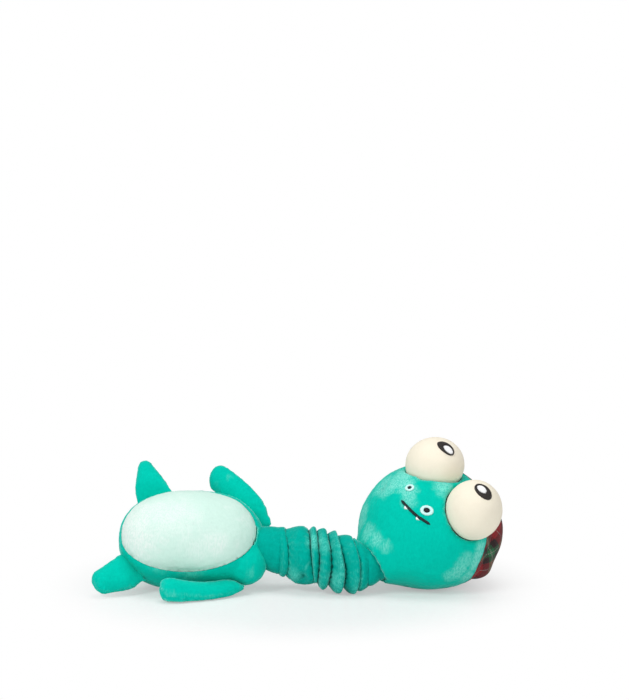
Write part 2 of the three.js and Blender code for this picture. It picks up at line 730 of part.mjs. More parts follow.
// Mouth: a thin line of satin stitch with pointed ends
function mouthShape() {
  const line = new THREE.SplineCurve(mouth.points.map(([x, y]) => new THREE.Vector2(x, y)));
  const length = line.getLength();
  const stations = mouth.points.length * 3;
  const upper = [];
  const lower = [];
  for (let i = 0; i <= stations; i += 1) {
    const share = i / stations;
    const toEnd = Math.min(share, 1 - share) * length;
    const half = mouth.halfWidth * Math.min(1, (toEnd + mouth.halfWidth) / mouth.pointLength);
    const along = line.getTangentAt(share);
    const middle = line.getPointAt(share);
    upper.push(new THREE.Vector2(middle.x - along.y * half, middle.y + along.x * half));
    lower.push(new THREE.Vector2(middle.x + along.y * half, middle.y - along.x * half));
  }
  return new THREE.Shape([...upper, ...lower.reverse()]);
}
addStitching('mouth_stitch', mouthShape(), blackThread);

for (const [sideName, tooth] of Object.entries(teeth)) {
  const [x, y] = tooth.at;
  const halfTop = tooth.width / 2;
  addStitching(`${sideName}_tooth`, new THREE.Shape([
    new THREE.Vector2(x - halfTop, y), new THREE.Vector2(x, y - tooth.drop),
    new THREE.Vector2(x + halfTop, y),
  ]), whiteThread);
}

// Ball eyes: each rocks about its own centre in its dimple
function addBallEye(name, eye) {
  const centre = headForms.localToWorld(vector(eye.centre));
  const aim = vector(eye.aimShares).normalize().transformDirection(headForms.matrixWorld);
  const across = side.clone().addScaledVector(aim, -side.dot(aim)).normalize();
  const group = frameAt(headGroup, `${name}_eye`, centre, side, crown, face);
  const looking = frameAt(group, `${name}_look`, centre, across, aim.clone().cross(across), aim);
  addSolid(group, `${name}_eye_ball`, ballForm(eye, 0), creamPlush);
  const layer = ballForm(eye, seamGap + stitchHeight).subtract(ballForm(eye, seamGap));
  const turn = THREE.MathUtils.degToRad(pupil.turnDeg);
  const ring = ellipse(0, 0, pupil.halfWidth, pupil.halfHeight, turn);
  ring.holes.push(ellipse(
    eye.glintSide, 0, glint.halfWidth + seamGap, glint.halfHeight + seamGap, turn,
  ));
  const spot = ellipse(eye.glintSide, 0, glint.halfWidth, glint.halfHeight, turn);
  const height = ballRadius + overrun;
  addSolid(group, `${name}_pupil`,
    layer.intersect(prism(looking, ring, height, steps.stitch)), blackThread);
  addSolid(group, `${name}_glint`,
    layer.intersect(prism(looking, spot, height, steps.stitch)), whiteThread);
}
Object.entries(eyes).forEach(([name, eye]) => addBallEye(name, eye));

// The toy's origin is the middle of its box, on the floor
const bounds = new THREE.Box3().setFromObject(toy, true);
const middle = bounds.getCenter(new THREE.Vector3());
toy.position.set(-middle.x, -middle.y, -bounds.min.z);

export default toy;
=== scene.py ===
"""A stuffed tug toy for a dog, lying on its back on a white floor: its cloths, stuffing, stretch
neck, ball eyes and embroidery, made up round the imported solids. Metres, +Z up."""

import json
import math

import bpy
import numpy as np
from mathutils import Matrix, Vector, noise
from mathutils.bvhtree import BVHTree

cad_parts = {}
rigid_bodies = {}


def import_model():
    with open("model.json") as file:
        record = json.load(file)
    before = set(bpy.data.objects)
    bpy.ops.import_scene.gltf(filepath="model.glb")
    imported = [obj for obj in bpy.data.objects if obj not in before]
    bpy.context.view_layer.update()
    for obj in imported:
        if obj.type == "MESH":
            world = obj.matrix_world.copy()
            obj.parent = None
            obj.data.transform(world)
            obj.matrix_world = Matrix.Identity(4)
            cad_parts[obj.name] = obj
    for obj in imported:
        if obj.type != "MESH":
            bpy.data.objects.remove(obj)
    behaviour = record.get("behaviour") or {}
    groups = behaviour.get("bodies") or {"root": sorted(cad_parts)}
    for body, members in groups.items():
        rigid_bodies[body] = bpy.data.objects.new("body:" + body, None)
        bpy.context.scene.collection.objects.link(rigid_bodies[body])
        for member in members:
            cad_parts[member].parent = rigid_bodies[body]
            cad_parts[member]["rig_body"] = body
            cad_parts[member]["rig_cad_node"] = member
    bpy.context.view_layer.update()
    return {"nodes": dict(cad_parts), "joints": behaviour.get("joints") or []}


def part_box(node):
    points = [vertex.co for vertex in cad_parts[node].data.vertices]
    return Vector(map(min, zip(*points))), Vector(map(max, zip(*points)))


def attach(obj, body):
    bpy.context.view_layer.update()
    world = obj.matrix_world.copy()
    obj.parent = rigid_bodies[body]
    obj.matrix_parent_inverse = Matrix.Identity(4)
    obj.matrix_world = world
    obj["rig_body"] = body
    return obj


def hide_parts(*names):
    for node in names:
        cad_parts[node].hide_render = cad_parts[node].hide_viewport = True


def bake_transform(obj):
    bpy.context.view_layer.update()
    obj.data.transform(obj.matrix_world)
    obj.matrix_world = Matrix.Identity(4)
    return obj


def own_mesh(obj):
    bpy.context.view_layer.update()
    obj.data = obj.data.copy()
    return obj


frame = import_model()
joints = {joint["name"]: joint for joint in frame["joints"]}


# Camera: a long lens on a low stand, looking a little down at the toy, which lies in the lower
# part of an upright picture.
ground_point = Vector((0.0126, -0.0034, 0))
camera_distance = 3.2
picture_height = 0.504
toy_below_middle = 0.1714
look_down = math.radians(12) - math.atan(toy_below_middle / camera_distance)
ahead = Vector((0, math.cos(look_down), -math.sin(look_down)))
upward = Vector((0, math.sin(look_down), math.cos(look_down)))

bpy.ops.object.select_all(action="DESELECT")
bpy.ops.object.camera_add(
    location=ground_point + upward * toy_below_middle - ahead * camera_distance,
    rotation=(math.pi / 2 - look_down, 0, 0),
)
camera = bpy.context.active_object
camera.name = "picture_camera"
camera.data.lens = camera.data.sensor_width * camera_distance / picture_height
bpy.context.scene.camera = camera


# Floor: one wide sheet of white acrylic, a little glossy, that fades into a white backdrop and
# keeps the soft shadow of the toy.
class Value:
    """One socket of a material, worked with as a plain number."""

    def __init__(self, finish, socket):
        self.finish, self.socket = finish, socket

    def out(self, which):
        """Another output of the same node."""
        return Value(self.finish, self.socket.node.outputs[which])

    def sum(self, operation, *values):
        return self.finish.add("ShaderNodeMath", {"operation": operation}, *values)

    def __add__(self, other):
        return self.sum("ADD", self, other)

    def __sub__(self, other):
        return self.sum("SUBTRACT", self, other)

    def __rsub__(self, other):
        return self.sum("SUBTRACT", other, self)

    def __mul__(self, other):
        return self.sum("MULTIPLY", self, other)

    def __truediv__(self, other):
        return self.sum("DIVIDE", self, other)

    def larger(self, other):
        return self.sum("MAXIMUM", self, other)

    def wave(self):
        return self.sum("SINE", self)

    def size(self):
        return self.sum("ABSOLUTE", self)

    def between(self, low, high, to_low=0.0, to_high=1.0):
        """Eases from one value to another while this one runs from low to high."""
        return self.finish.add("ShaderNodeMapRange", {"interpolation_type": "SMOOTHSTEP"},
                               self, low, high, to_low, to_high)


def shade(swatch):
    """A colour as it is read from a swatch, turned into the linear colour that light needs."""
    parts = [int(swatch[i:i + 2], 16) / 255 for i in (0, 2, 4)]
    return tuple(p / 12.92 if p <= 0.04045 else ((p + 0.055) / 1.055) ** 2.4 for p in parts) + (1,)


class Finish:
    """A material, or the light of a room, in the making. Colours are given as swatches."""

    def __init__(self, name, shelf=bpy.data.materials):
        self.made = shelf.new(name)
        self.made.use_nodes = True
        self.tree = self.made.node_tree
        self.tree.nodes.clear()

    def add(self, kind, settings=None, *values, **named):
        """A node with its inputs filled in, by order or by name. Gives back its first output."""
        node = self.tree.nodes.new(kind)
        for setting, value in (settings or {}).items():
            setattr(node, setting, value)
        sockets = list(enumerate(values)) + [(n.replace("_", " "), v) for n, v in named.items()]
        for key, value in sockets:
            if isinstance(value, Value):
                self.tree.links.new(value.socket, node.inputs[key])
            elif value is not None:
                node.inputs[key].default_value = shade(value) if isinstance(value, str) else value
        return Value(self, node.outputs[0])

    def place(self, scale=(1, 1, 1), turn=(0, 0, 0)):
        """Where a point of the piece lies, in metres of the toy, stretched or turned."""
        here = self.add("ShaderNodeTexCoord").out("Object")
        return self.add("ShaderNodeMapping", {"vector_type": "TEXTURE"}, here, (0, 0, 0), turn,
                        tuple(1 / s for s in scale))

    def cloud(self, place, grain, detail=2.0, rough=0.5, bend=0.0):
        """Soft random value from 0 to 1 with spots about grain metres wide."""
        return self.add("ShaderNodeTexNoise", {"noise_dimensions": "3D"}, Vector=place,
                        Scale=1 / grain, Detail=detail, Roughness=rough, Distortion=bend)

    def blend(self, share, first, second):
        """A colour between two others."""
        unused = (None,) * 5
        return self.add("ShaderNodeMix", {"data_type": "RGBA"}, share, *unused, first,
                        second).out(2)

    def axis(self, place, which):
        return self.add("ShaderNodeSeparateXYZ", None, place).out(which)

    def bump(self, height, depth, strength):
        return self.add("ShaderNodeBump", None, Strength=strength, Distance=depth, Height=height)

    def done(self, surface, output="ShaderNodeOutputMaterial"):
        end = self.tree.nodes.new(output)
        self.tree.links.new(surface.socket, end.inputs[0])
        return self.made

    def surface(self, **settings):
        """The finished material, where it is one surface all over."""
        return self.done(self.add("ShaderNodeBsdfPrincipled", None, **settings))


def white_acrylic():
    floor = Finish("white_acrylic")
    scuffs = floor.cloud(floor.place(), 0.004, 3)
    board = floor.add(
        "ShaderNodeBsdfPrincipled", None, Base_Color=floor.blend(scuffs, "f1f2f2", "f5f6f6"),
        Roughness=scuffs.between(0.3, 0.7, 0.3, 0.38), Specular_IOR_Level=0.32,
    )
    glow = floor.add("ShaderNodeEmission", None, (1, 1, 1, 1), 1.0)
    path = floor.add("ShaderNodeLightPath")
    seen = path.out("Is Camera Ray").larger(path.out("Is Glossy Ray"))
    seen = seen.larger(path.out("Is Transmission Ray"))
    far = floor.add("ShaderNodeVectorMath", {"operation": "LENGTH"}, floor.place((1, 0.95, 1)))
    faded = seen * far.out("Value").between(0.1, 0.19, 0.4, 1)
    return floor.done(floor.add("ShaderNodeMixShader", None, faded, board, glow))


bpy.ops.mesh.primitive_plane_add(size=8, location=(0, 0, -0.0003))
floor_sheet = bpy.context.active_object
floor_sheet.name = "floor_sheet"
floor_sheet.data.materials.append(white_acrylic())

room = Finish("white_room", bpy.data.worlds)
by_eye = room.add("ShaderNodeLightPath").out("Is Camera Ray")
lit = room.add("ShaderNodeBackground", None, (0.97, 0.985, 1, 1), 0.38)
plain = room.add("ShaderNodeBackground", None, (1, 1, 1, 1), 1)
bpy.context.scene.world = room.done(
    room.add("ShaderNodeMixShader", None, by_eye, lit, plain), "ShaderNodeOutputWorld",
)

# Softboxes: a round one high at the left in front, a wide one overhead, one by the camera and
# one at the right, all turned to the middle of the toy
toy_centre = Vector((0, 0, 0.04))
for lamp_name, spot, wide, power in (
    ("left_softbox", (-1.2, -1.2, 1.4), 0.9, 19),
    ("top_softbox", (0.1, 0.1, 1.9), 1.2, 13),
    ("front_softbox", (0.2, -2.2, 0.8), 1.2, 5),
    ("right_softbox", (1.5, -1.3, 0.9), 1.2, 8),
):
    aim = (toy_centre - Vector(spot)).to_track_quat("-Z", "Y").to_euler()
    bpy.ops.object.light_add(type="AREA", location=spot, rotation=aim)
    softbox = bpy.context.active_object
    softbox.name = lamp_name
    softbox.data.shape = "DISK"
    softbox.data.size = wide
    softbox.data.energy = power
bpy.context.scene.view_settings.view_transform = "Standard"


# Torso: two plush cloths, teal at the back and pale mint on the belly, sewn together inside out
# along an oval, turned and stuffed into an egg. The stuffing swells the cloth between its seams.
torso_length, torso_radius = 0.110, 0.036
rump_share, neck_end_share = 0.83, 1.05
neck_end_from, neck_end_blunt = 0.030, 0.78
belly_start, belly_half_length, belly_half_width = -0.0066, 0.0501, 0.0322
oval_widening, oval_height = 12.3, 0.0150
shoulder_radius, shoulder_place = 0.0158, np.array((0.0352, -0.0116, -0.0142))
cloth_thickness, seam_half_gap = 0.0016, 0.00015
base_half_height, seat_above_middle = 0.0028, 0.009

belly_out = -Vector(joints["belly_press"]["axis"])
low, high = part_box("torso_squeaker_base")
squeaker_seat = (low + high) / 2 - belly_out * base_half_height
torso_middle = squeaker_seat - belly_out * seat_above_middle
torso_axes = np.array([(1, 0, 0), belly_out.cross(Vector((1, 0, 0))), belly_out])


def lengths(ways):
    return np.linalg.norm(ways, axis=1)


def points_of(piece):
    flat = np.zeros(len(piece.data.vertices) * 3)
    piece.data.vertices.foreach_get("co", flat)
    return flat.reshape(-1, 3)


def set_points(piece, points):
    piece.data.vertices.foreach_set("co", np.asarray(points, np.float32).ravel())
    piece.data.update()


def ball(name, segments=48, rings=32):
    """A round primitive, one metre in radius, to be drawn out to its size."""
    bpy.ops.object.select_all(action="DESELECT")
    bpy.ops.mesh.primitive_uv_sphere_add(segments=segments, ring_count=rings, radius=1)
    piece = bpy.context.active_object
    piece.name = piece.data.name = name
    return piece


def pick(piece):
    bpy.ops.object.select_all(action="DESELECT")
    piece.select_set(True)
    bpy.context.view_layer.objects.active = piece


def apply(piece, kind, **settings):
    """Puts one modifier on a piece and makes it part of the mesh."""
    pick(piece)
    step = piece.modifiers.new(kind.lower(), kind)
    for setting, value in settings.items():
        setattr(step, setting, value)
    bpy.ops.object.modifier_apply(modifier=step.name)


def stuffed(piece, voxel, most, held):
    """Swells a sewn form with its stuffing, by so many metres at most. held says which points a
    seam holds, from 0 to 1."""
    apply(piece, "REMESH", mode="VOXEL", voxel_size=voxel)
    rest = points_of(piece)
    pick(piece)
    filling = piece.modifiers.new("filling", "CLOTH")
    sewn = filling.settings
    sewn.quality = 4
    sewn.mass = 0.2
    sewn.use_pressure = True
    sewn.uniform_pressure_force = 4
    sewn.effector_weights.gravity = 0
    sewn.bending_stiffness = 0.2
    seam = piece.vertex_groups.new(name="seam")
    for i, share in enumerate(held(rest)):
        if share > 0.05:
            seam.add([i], float(share), "REPLACE")
    sewn.vertex_group_mass = "seam"
    settling_steps = 20
    for step in range(1, settling_steps + 1):
        bpy.context.scene.frame_set(step)
    bpy.ops.object.modifier_apply(modifier=filling.name)
    bpy.context.scene.frame_set(1)
    shift = points_of(piece) - rest
    far = np.linalg.norm(shift, axis=1, keepdims=True)
    set_points(piece, rest + shift * np.minimum(1, most / np.maximum(far, 1e-9)))
    piece.vertex_groups.clear()
    apply(piece, "SUBSURF", levels=1, render_levels=1)


def normals_of(piece):
    flat = np.zeros(len(piece.data.vertices) * 3, np.float32)
    piece.data.vertices.foreach_get("normal", flat)
    return flat.reshape(-1, 3).astype(float)


def lumps(points, grain, seed):
    """Soft random height from about -1 to 1 at each point, with lumps about grain metres wide."""
    shift = Vector((seed, seed * 0.7, -seed))
    return np.array([noise.noise(Vector(p) / grain + shift) for p in points])


def on_floor(points, soft):
    """Lays whatever would sink through the floor flat on it, with a rounded edge."""
    height = points[:, 2].copy()
    points[:, 2] = 0.5 * (height + np.sqrt(height * height + soft * soft))
    return points


def cut_away(piece, inside, onto):
    """Cuts cloth off where inside is true and trims the new edge onto its line."""
    corners = points_of(piece)
    middles = np.array([corners[list(p.vertices)].mean(0) for p in piece.data.polygons])
    pick(piece)
    bpy.ops.object.mode_set(mode="EDIT")
    bpy.ops.mesh.select_mode(type="FACE")
    bpy.ops.object.mode_set(mode="OBJECT")
    piece.data.polygons.foreach_set("select", inside(middles))
    bpy.ops.object.mode_set(mode="EDIT")
    bpy.ops.mesh.delete(type="FACE")
    bpy.ops.mesh.select_mode(type="VERT")
    bpy.ops.mesh.select_all(action="DESELECT")
    bpy.ops.mesh.select_non_manifold()
    bpy.ops.object.mode_set(mode="OBJECT")
    edge = np.zeros(len(piece.data.vertices), bool)
    piece.data.vertices.foreach_get("select", edge)
    points = points_of(piece)
    points[edge] = onto(points, normals_of(piece))[edge]
    set_points(piece, points)


def in_torso(points):
    return (np.asarray(points) - np.array(torso_middle)) @ torso_axes.T


def from_torso(points):
    return points @ torso_axes + np.array(torso_middle)


def egg(name, inset):
    """The torso's egg, blunter at the rump and rounder at the neck, with its low shoulder."""
    shoulder = ball(name + "_shoulder")
    shoulder_middle = np.array(torso_middle) + shoulder_place
    set_points(shoulder, points_of(shoulder) * (shoulder_radius - inset) + shoulder_middle)
    piece = ball(name)
    unit = points_of(piece)
    along, across = unit[:, 2], unit[:, :2]
    share = np.where(along < 0, rump_share, neck_end_share)
    out = lengths(across)
    swell = np.where(out > 0, np.maximum(out, 1e-9) ** share / np.maximum(out, 1e-9), 0)
    half = torso_length / 2 - inset
    length = np.sign(along) * np.abs(along) ** share * half
    blunted = neck_end_from + (length - neck_end_from) * neck_end_blunt
    length = np.where(length > neck_end_from, blunted, length)
    local = np.column_stack([
        length,
        across[:, 0] * swell * (torso_radius - inset),
        across[:, 1] * swell * (torso_radius - inset),
    ])
    set_points(piece, from_torso(local))
    shoulder.select_set(True)
    bpy.ops.object.join()
    return piece


def over_oval(local):
    """How far points stand outside the oval of the belly seam, and the way in which that grows.
    The oval widens upwards, so that it crosses the torso's steep sides cleanly."""
    from_oval = local * (1, 1, 0) - (belly_start, 0, 0)
    halves = np.array((belly_half_length, belly_half_width, 1))
    radius = np.maximum(lengths(from_oval / halves), 1e-6)
    slope = from_oval / halves ** 2 / radius[:, None] - (0, 0, oval_widening)
    return radius - 1 - oval_widening * (local[:, 2] - oval_height), slope


def belly_rim(points):
    """How far a point lies outside the oval of the belly seam, in metres, about."""
    local = in_torso(points)
    outside, slope = over_oval(local)
    return np.where(local[:, 2] > 0, outside / lengths(slope), 0.05)


def onto_belly_rim(points, normals, gap):
    """Slides points over the cloth on to the oval of the belly seam, or beside it by a gap."""
    local, facing = in_torso(points), normals @ torso_axes.T
    outside, slope = over_oval(local)
    slope -= facing * (slope * facing).sum(1, keepdims=True)
    steep = np.maximum(lengths(slope), 1e-3)
    run = np.clip(-outside / steep, -0.003, 0.003) + gap + 0.0003 * lumps(points, 0.0013, 21.0)
    return from_torso(local + slope / steep[:, None] * run[:, None])


# The line down the middle of the neck, which the torso's cloth is open round
neck_points = np.array([
    (-38, 0, 34), (-26, -2.5, 31.5), (-4, -5, 27.6), (15.5, -11, 25.4),
    (33, -16.5, 21.4), (43.5, -16, 20.6),
]) * 0.001 + np.array([*torso_middle]) - np.array((-0.0735, 0, 0.0355))
head_turn_way = Vector(joints["head_turn"]["axis"])
neck_seam = Vector(joints["head_turn"]["pos_m"])
neck_tuck = 0.008
line_steps = 400
line_shares = np.linspace(0, 1, line_steps + 1)
neck_points = np.vstack([neck_points, neck_seam, neck_seam + head_turn_way * neck_tuck])


def smooth_line(points):
    """A smooth line through points, as places spaced evenly along it, and its length."""
    points = np.vstack([2 * points[0] - points[1], points, 2 * points[-1] - points[-2]])
    places = []
    for a, b, c, d in zip(points, points[1:], points[2:], points[3:]):
        ta, tb, tc, td = np.cumsum([0] + [
            math.sqrt(np.linalg.norm(q - p)) for p, q in ((a, b), (b, c), (c, d))
        ])
        for t in np.linspace(tb, tc, 40, endpoint=False):
            def mix(p, q, start, end):
                return p + (q - p) * (t - start) / (end - start)

            ab, bc, cd = mix(a, b, ta, tb), mix(b, c, tb, tc), mix(c, d, tc, td)
            places.append(mix(mix(ab, bc, ta, tc), mix(bc, cd, tb, td), tb, tc))
    places.append(points[-2])
    places = np.array(places)
    run = np.concatenate([[0], np.cumsum(lengths(np.diff(places, axis=0)))])
    even = np.linspace(0, run[-1], line_steps + 1)
    return np.column_stack([np.interp(even, run, places[:, k]) for k in range(3)]), run[-1]


neck_line, neck_length = smooth_line(neck_points)


def ease(share):
    share = np.clip(share, 0, 1)
    return share * share * (3 - 2 * share)


# Radius of the sleeve over its folds, at places along the toy
sleeve_sizes = np.array([
    (-40, 10.5), (-27, 14.6), (-8, 18), (2, 20.8), (28, 21.4), (40, 20.4), (47, 17.8), (54, 14.6),
    (64, 13.4),
]) * 0.001


def sleeve_radius(share):
    """Radius of the neck's sleeve over its folds, at a share of the neck's length."""
    along = np.interp(share, line_shares, neck_line[:, 0])
    return np.interp(along, sleeve_sizes[:, 0], sleeve_sizes[:, 1])


def near_neck(points):
    """How far points lie from the neck's line, and at what share of its length."""
    every = 4
    far = np.linalg.norm(points[:, None, :] - neck_line[None, ::every, :], axis=2)
    return far.min(1), far.argmin(1) * every / line_steps


def inside_sleeve(points):
    far, share = near_neck(points)
    return (far < sleeve_radius(share) - 0.001) & (share > 0.005) & (share < 0.5)


def onto_sleeve(points, normals):
    far, share = near_neck(points)
    middle = neck_line[(share * line_steps).astype(int)]
    way = (points - middle) / np.maximum(far, 1e-9)[:, None]
    wanted = sleeve_radius(share)[:, None] - 0.0008
    near = (np.abs(far - sleeve_radius(share)) < 0.004)[:, None]
    return np.where(near, middle + way * wanted, points)


def marks_folds(piece, steps=16, stroked=0.0):
    """Marks how far each point rises out of the cloth round it, or how deep it lies in a
    crease, for the material to paint light and shade by: a painted highlight on a fold,
    painted shade in a crease, and painted light on the sides that face -X, towards the left lamp."""
    points, normals = points_of(piece), normals_of(piece)
    ends = np.zeros(len(piece.data.edges) * 2, np.int32)
    piece.data.edges.foreach_get("vertices", ends)
    first, second = ends.reshape(-1, 2).T
    count = np.maximum(np.bincount(ends, minlength=len(points)), 1)
    eased, pile_depth = points, 0.0005
    # Painted light: the sides that face -X, towards the left lamp, are marked paler by the last
    # argument
    fold_light = -normals[:, 0] * stroked
    # Painted highlight on folds and painted shade in creases, by how far each point lies off the
    # cloth eased round it
    for step in range(steps * 4):
        near = [np.bincount(first, eased[second, k], len(points))
                + np.bincount(second, eased[first, k], len(points)) for k in range(3)]
        eased = (eased + np.column_stack(near) / count[:, None]) / 2
        if step == steps - 1:
            fold_light += ((points - eased) * normals).sum(1) / pile_depth
    # Painted shade again in the broad creases, from the cloth eased further
    fold_light += np.minimum(((points - eased) * normals).sum(1) / (pile_depth * 2.5), 0)
    mark = piece.data.attributes.new("stands_out", "FLOAT", "POINT")
    mark.data.foreach_set("value", fold_light)


def plush(name, full, hollow, brushed, spots=(), patchy=(0.62, 0.82), lay=(1, 1, 0.3), shine=0.75,
          tint=(0.5, 1, 0.94, 1)):
    """Short soft pile. full and hollow are its colours at the tips and down in the pile, and the
    third colour is where the pile has been laid the other way: in patches, and in the spots given.
    That third colour is also painted on folds as a highlight, and creases get painted shade."""
    pile = Finish(name)
    here = pile.place()
    strands = pile.cloud(pile.place(lay), 0.0009, 3, 0.6)
    tufts = pile.cloud(here, 0.004, 2, 0.5, 0.6)
    lie = pile.cloud(here, 0.021, 2, 0.55, 0.8)
    wide = pile.cloud(here, 0.05, 1)
    stroked = lie.between(*patchy) * wide.between(0.35, 0.6)
    for centre, radius, strength in spots:
        to_spot = pile.add("ShaderNodeVectorMath", {"operation": "DISTANCE"}, here, centre)
        wander = (lie - 0.5) * radius * 1.3 + (tufts - 0.5) * radius * 0.7
        edge = (to_spot.out("Value") + wander).between(radius * 1.2, radius * 0.3)
        stroked = stroked.larger(edge * strength)
    tips = (strands * 0.6 + tufts * 0.4).between(0.3, 0.7)
    colour = pile.blend(tips * 0.4 + 0.55, hollow, full)
    streak = strands.between(0.38, 0.6, 0.35, 1)
    colour = pile.blend(stroked * streak, colour, brushed)
    # Painted light from the fold mark: a painted highlight, speckled in the third colour, where
    # the cloth rises on folds
    fold_light = pile.add("ShaderNodeAttribute", {"attribute_name": "stands_out"}).out("Fac")
    speckle = strands.between(0.42, 0.62, 0.25, 1)
    colour = pile.blend(fold_light.between(0.4, 2) * speckle * 0.9, colour, brushed)
    # Painted shade: where the fold mark sinks into creases, the colour is darkened towards a
    # blackened hollow colour
    colour = pile.blend((0 - fold_light).between(0, 1.5) * 0.85, colour,
                        pile.blend(0.62, hollow, "000000"))
    return pile.surface(
        Base_Color=colour, Roughness=strands.between(0.3, 0.7, 0.95, 0.72),
        Normal=pile.bump(strands * 0.55 + tufts * 0.45, 0.0005, 0.3),
        Specular_IOR_Level=0.02, Sheen_Weight=shine, Sheen_Roughness=0.28, Sheen_Tint=tint,
    )


teal, deep_teal, pale_teal = "00c6b0", "00ac99", "84e2d2"


def finished(piece, material, body, node):
    """Gives a piece its material, and hands it to the body that carries it."""
    piece.data.materials.append(material)
    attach(piece, body)
    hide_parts(node)


def torso_seams(points):
    """Seams that hold the stuffed cloth in: round the belly and round the neck."""
    rim = np.exp(-(belly_rim(points) / 0.003) ** 2)
    far, share = near_neck(points)
    neck = ((far < sleeve_radius(share) + 0.003) & (share > 0.005)).astype(float)
    return np.maximum(rim, neck)


torso_skin = egg("torso_skin", -0.0006)
stuffed(torso_skin, 0.0032, 0.0022, torso_seams)
apply(torso_skin, "SUBSURF", levels=1, render_levels=1)
points, normals = points_of(torso_skin), normals_of(torso_skin)
rim = belly_rim(points)
puckers = 0.5 + 0.5 * lumps(points, 0.0032, 3.0)
dip = 0.0009 * np.exp(-(rim / 0.0022) ** 2)
dip += 0.0004 * puckers * np.exp(-(rim / 0.005) ** 2)
swell = 0.0005 * lumps(points, 0.02, 5.0) + 0.00022 * lumps(points, 0.0022, 8.0)
points += normals * (swell - dip)[:, None]
set_points(torso_skin, on_floor(points, 0.0012))

pick(torso_skin)
bpy.ops.object.duplicate()
belly_skin = bpy.context.active_object
belly_skin.name = "belly_skin"
for skin, side in ((torso_skin, 1), (belly_skin, -1)):
    cut_away(skin, lambda p: belly_rim(p) * side < 0,
             lambda p, n: onto_belly_rim(p, n, seam_half_gap * side))
    cut_away(skin, inside_sleeve, onto_sleeve)
    marks_folds(skin)
    apply(skin, "SOLIDIFY", thickness=cloth_thickness, offset=-1)
    bpy.ops.object.shade_smooth()

finished(torso_skin, plush(
    "teal_torso_plush", teal, deep_teal, pale_teal,
    [((-0.1, -0.038, 0.022), 0.012, 0.4),
     ((-0.075, -0.038, 0.018), 0.01, 0.35)],
), "torso", "torso_plush")
finished(belly_skin, plush(
    "pale_belly_plush", "d1ede2", "c3e2d6", "e9f3ee",
    [((-0.118, -0.02, 0.045), 0.03, 0.9), ((-0.095, -0.03, 0.06), 0.026, 0.7),
     ((-0.058, -0.036, 0.040), 0.010, 0.6), ((-0.07, -0.035, 0.036), 0.01, 0.4)],
    shine=0.06, tint=(1, 1, 1, 1),
), "torso", "belly_panel")
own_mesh(belly_skin)


# Torso stuffing: loose polyester fibre, pushed in by hand round the squeaker, which sits in a
# pocket under the belly.
fill_inset = 0.0042
squeaker_pocket, neck_pocket = 0.0157, 0.0168


def raised(piece, height):
    """Moves the points of a piece outwards by what height gives for their places."""
    points = points_of(piece)
    set_points(piece, points + normals_of(piece) * height(points)[:, None])


def clumped(piece, seed):
    """Makes a form into loose stuffing with a lumpy outside."""
    apply(piece, "REMESH", mode="VOXEL", voxel_size=0.003)
    raised(piece, lambda points: 0.0007 * lumps(points, 0.006, seed))
    return piece


def bored(piece, radius, start, end):
    """Takes a round bore out of a piece, from one point to another."""
    start, end = Vector(start), Vector(end)
    turn = (end - start).to_track_quat("Z", "Y").to_euler()
    bpy.ops.object.select_all(action="DESELECT")
    bpy.ops.mesh.primitive_cylinder_add(
        vertices=48, radius=radius, depth=(end - start).length,
        location=(start + end) / 2, rotation=turn,
    )
    borer = bpy.context.active_object
    apply(piece, "BOOLEAN", operation="DIFFERENCE", solver="EXACT", object=borer)
    bpy.data.objects.remove(borer)


def fibrefill():
    """Crimped white polyester fibre, lying in loose clumps."""
    fibre = Finish("white_fibrefill")
    strands = fibre.cloud(fibre.place((1, 0.25, 1), (0.4, 0.7, 0)), 0.0009, 4, 0.6, 1.2)
    clumps = fibre.cloud(fibre.place(), 0.006, 3, 0.6, 0.8)
    return fibre.surface(
        Base_Color=fibre.blend(clumps, "e9e9e4", "fbfbf8"),
        Roughness=strands.between(0.2, 0.8, 1, 0.85),
        Normal=fibre.bump(strands * 0.5 + clumps, 0.0015, 0.8), Sheen_Weight=0.3,
    )


white_fibre = fibrefill()
torso_fill = clumped(egg("torso_fill", fill_inset), 2.0)
bored(torso_fill, squeaker_pocket, squeaker_seat - belly_out * 0.0003,
      squeaker_seat + belly_out * 0.04)
bored(torso_fill, neck_pocket, neck_line[0] - (neck_line[30] - neck_line[0]) * 0.02,
      neck_line[90])
finished(torso_fill, white_fibre, "torso", "torso_stuffing")


# Limbs: flat paddles, each two pieces of plush sewn round the edge, turned, lightly stuffed, and
# caught by its open root in a side seam of the torso.
def joined_up(piece, nearer, outward=None):
    """Joins up corners that lie nearer to each other than this. The faces of a rolled strip are
    also turned to the side that outward gives for its points."""
    pick(piece)
    bpy.ops.object.mode_set(mode="EDIT")
    bpy.ops.mesh.select_all(action="SELECT")
    bpy.ops.mesh.remove_doubles(threshold=nearer)
    if outward:
        bpy.ops.mesh.normals_make_consistent(inside=False)
    bpy.ops.object.mode_set(mode="OBJECT")
    if outward and (normals_of(piece) * outward(points_of(piece))).sum() < 0:
        bpy.ops.object.mode_set(mode="EDIT")
        bpy.ops.mesh.flip_normals()
        bpy.ops.object.mode_set(mode="OBJECT")


def own_copy(node, name):
    """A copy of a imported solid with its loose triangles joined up, to be worked on."""
    piece = frame["nodes"][node].copy()
    piece.data = piece.data.copy()
    piece.name = piece.data.name = name
    bpy.context.scene.collection.objects.link(piece)
    piece.parent = None
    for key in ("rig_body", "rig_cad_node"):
        del piece[key]
    piece.data.materials.clear()
    joined_up(piece, 0.000002)
    return piece


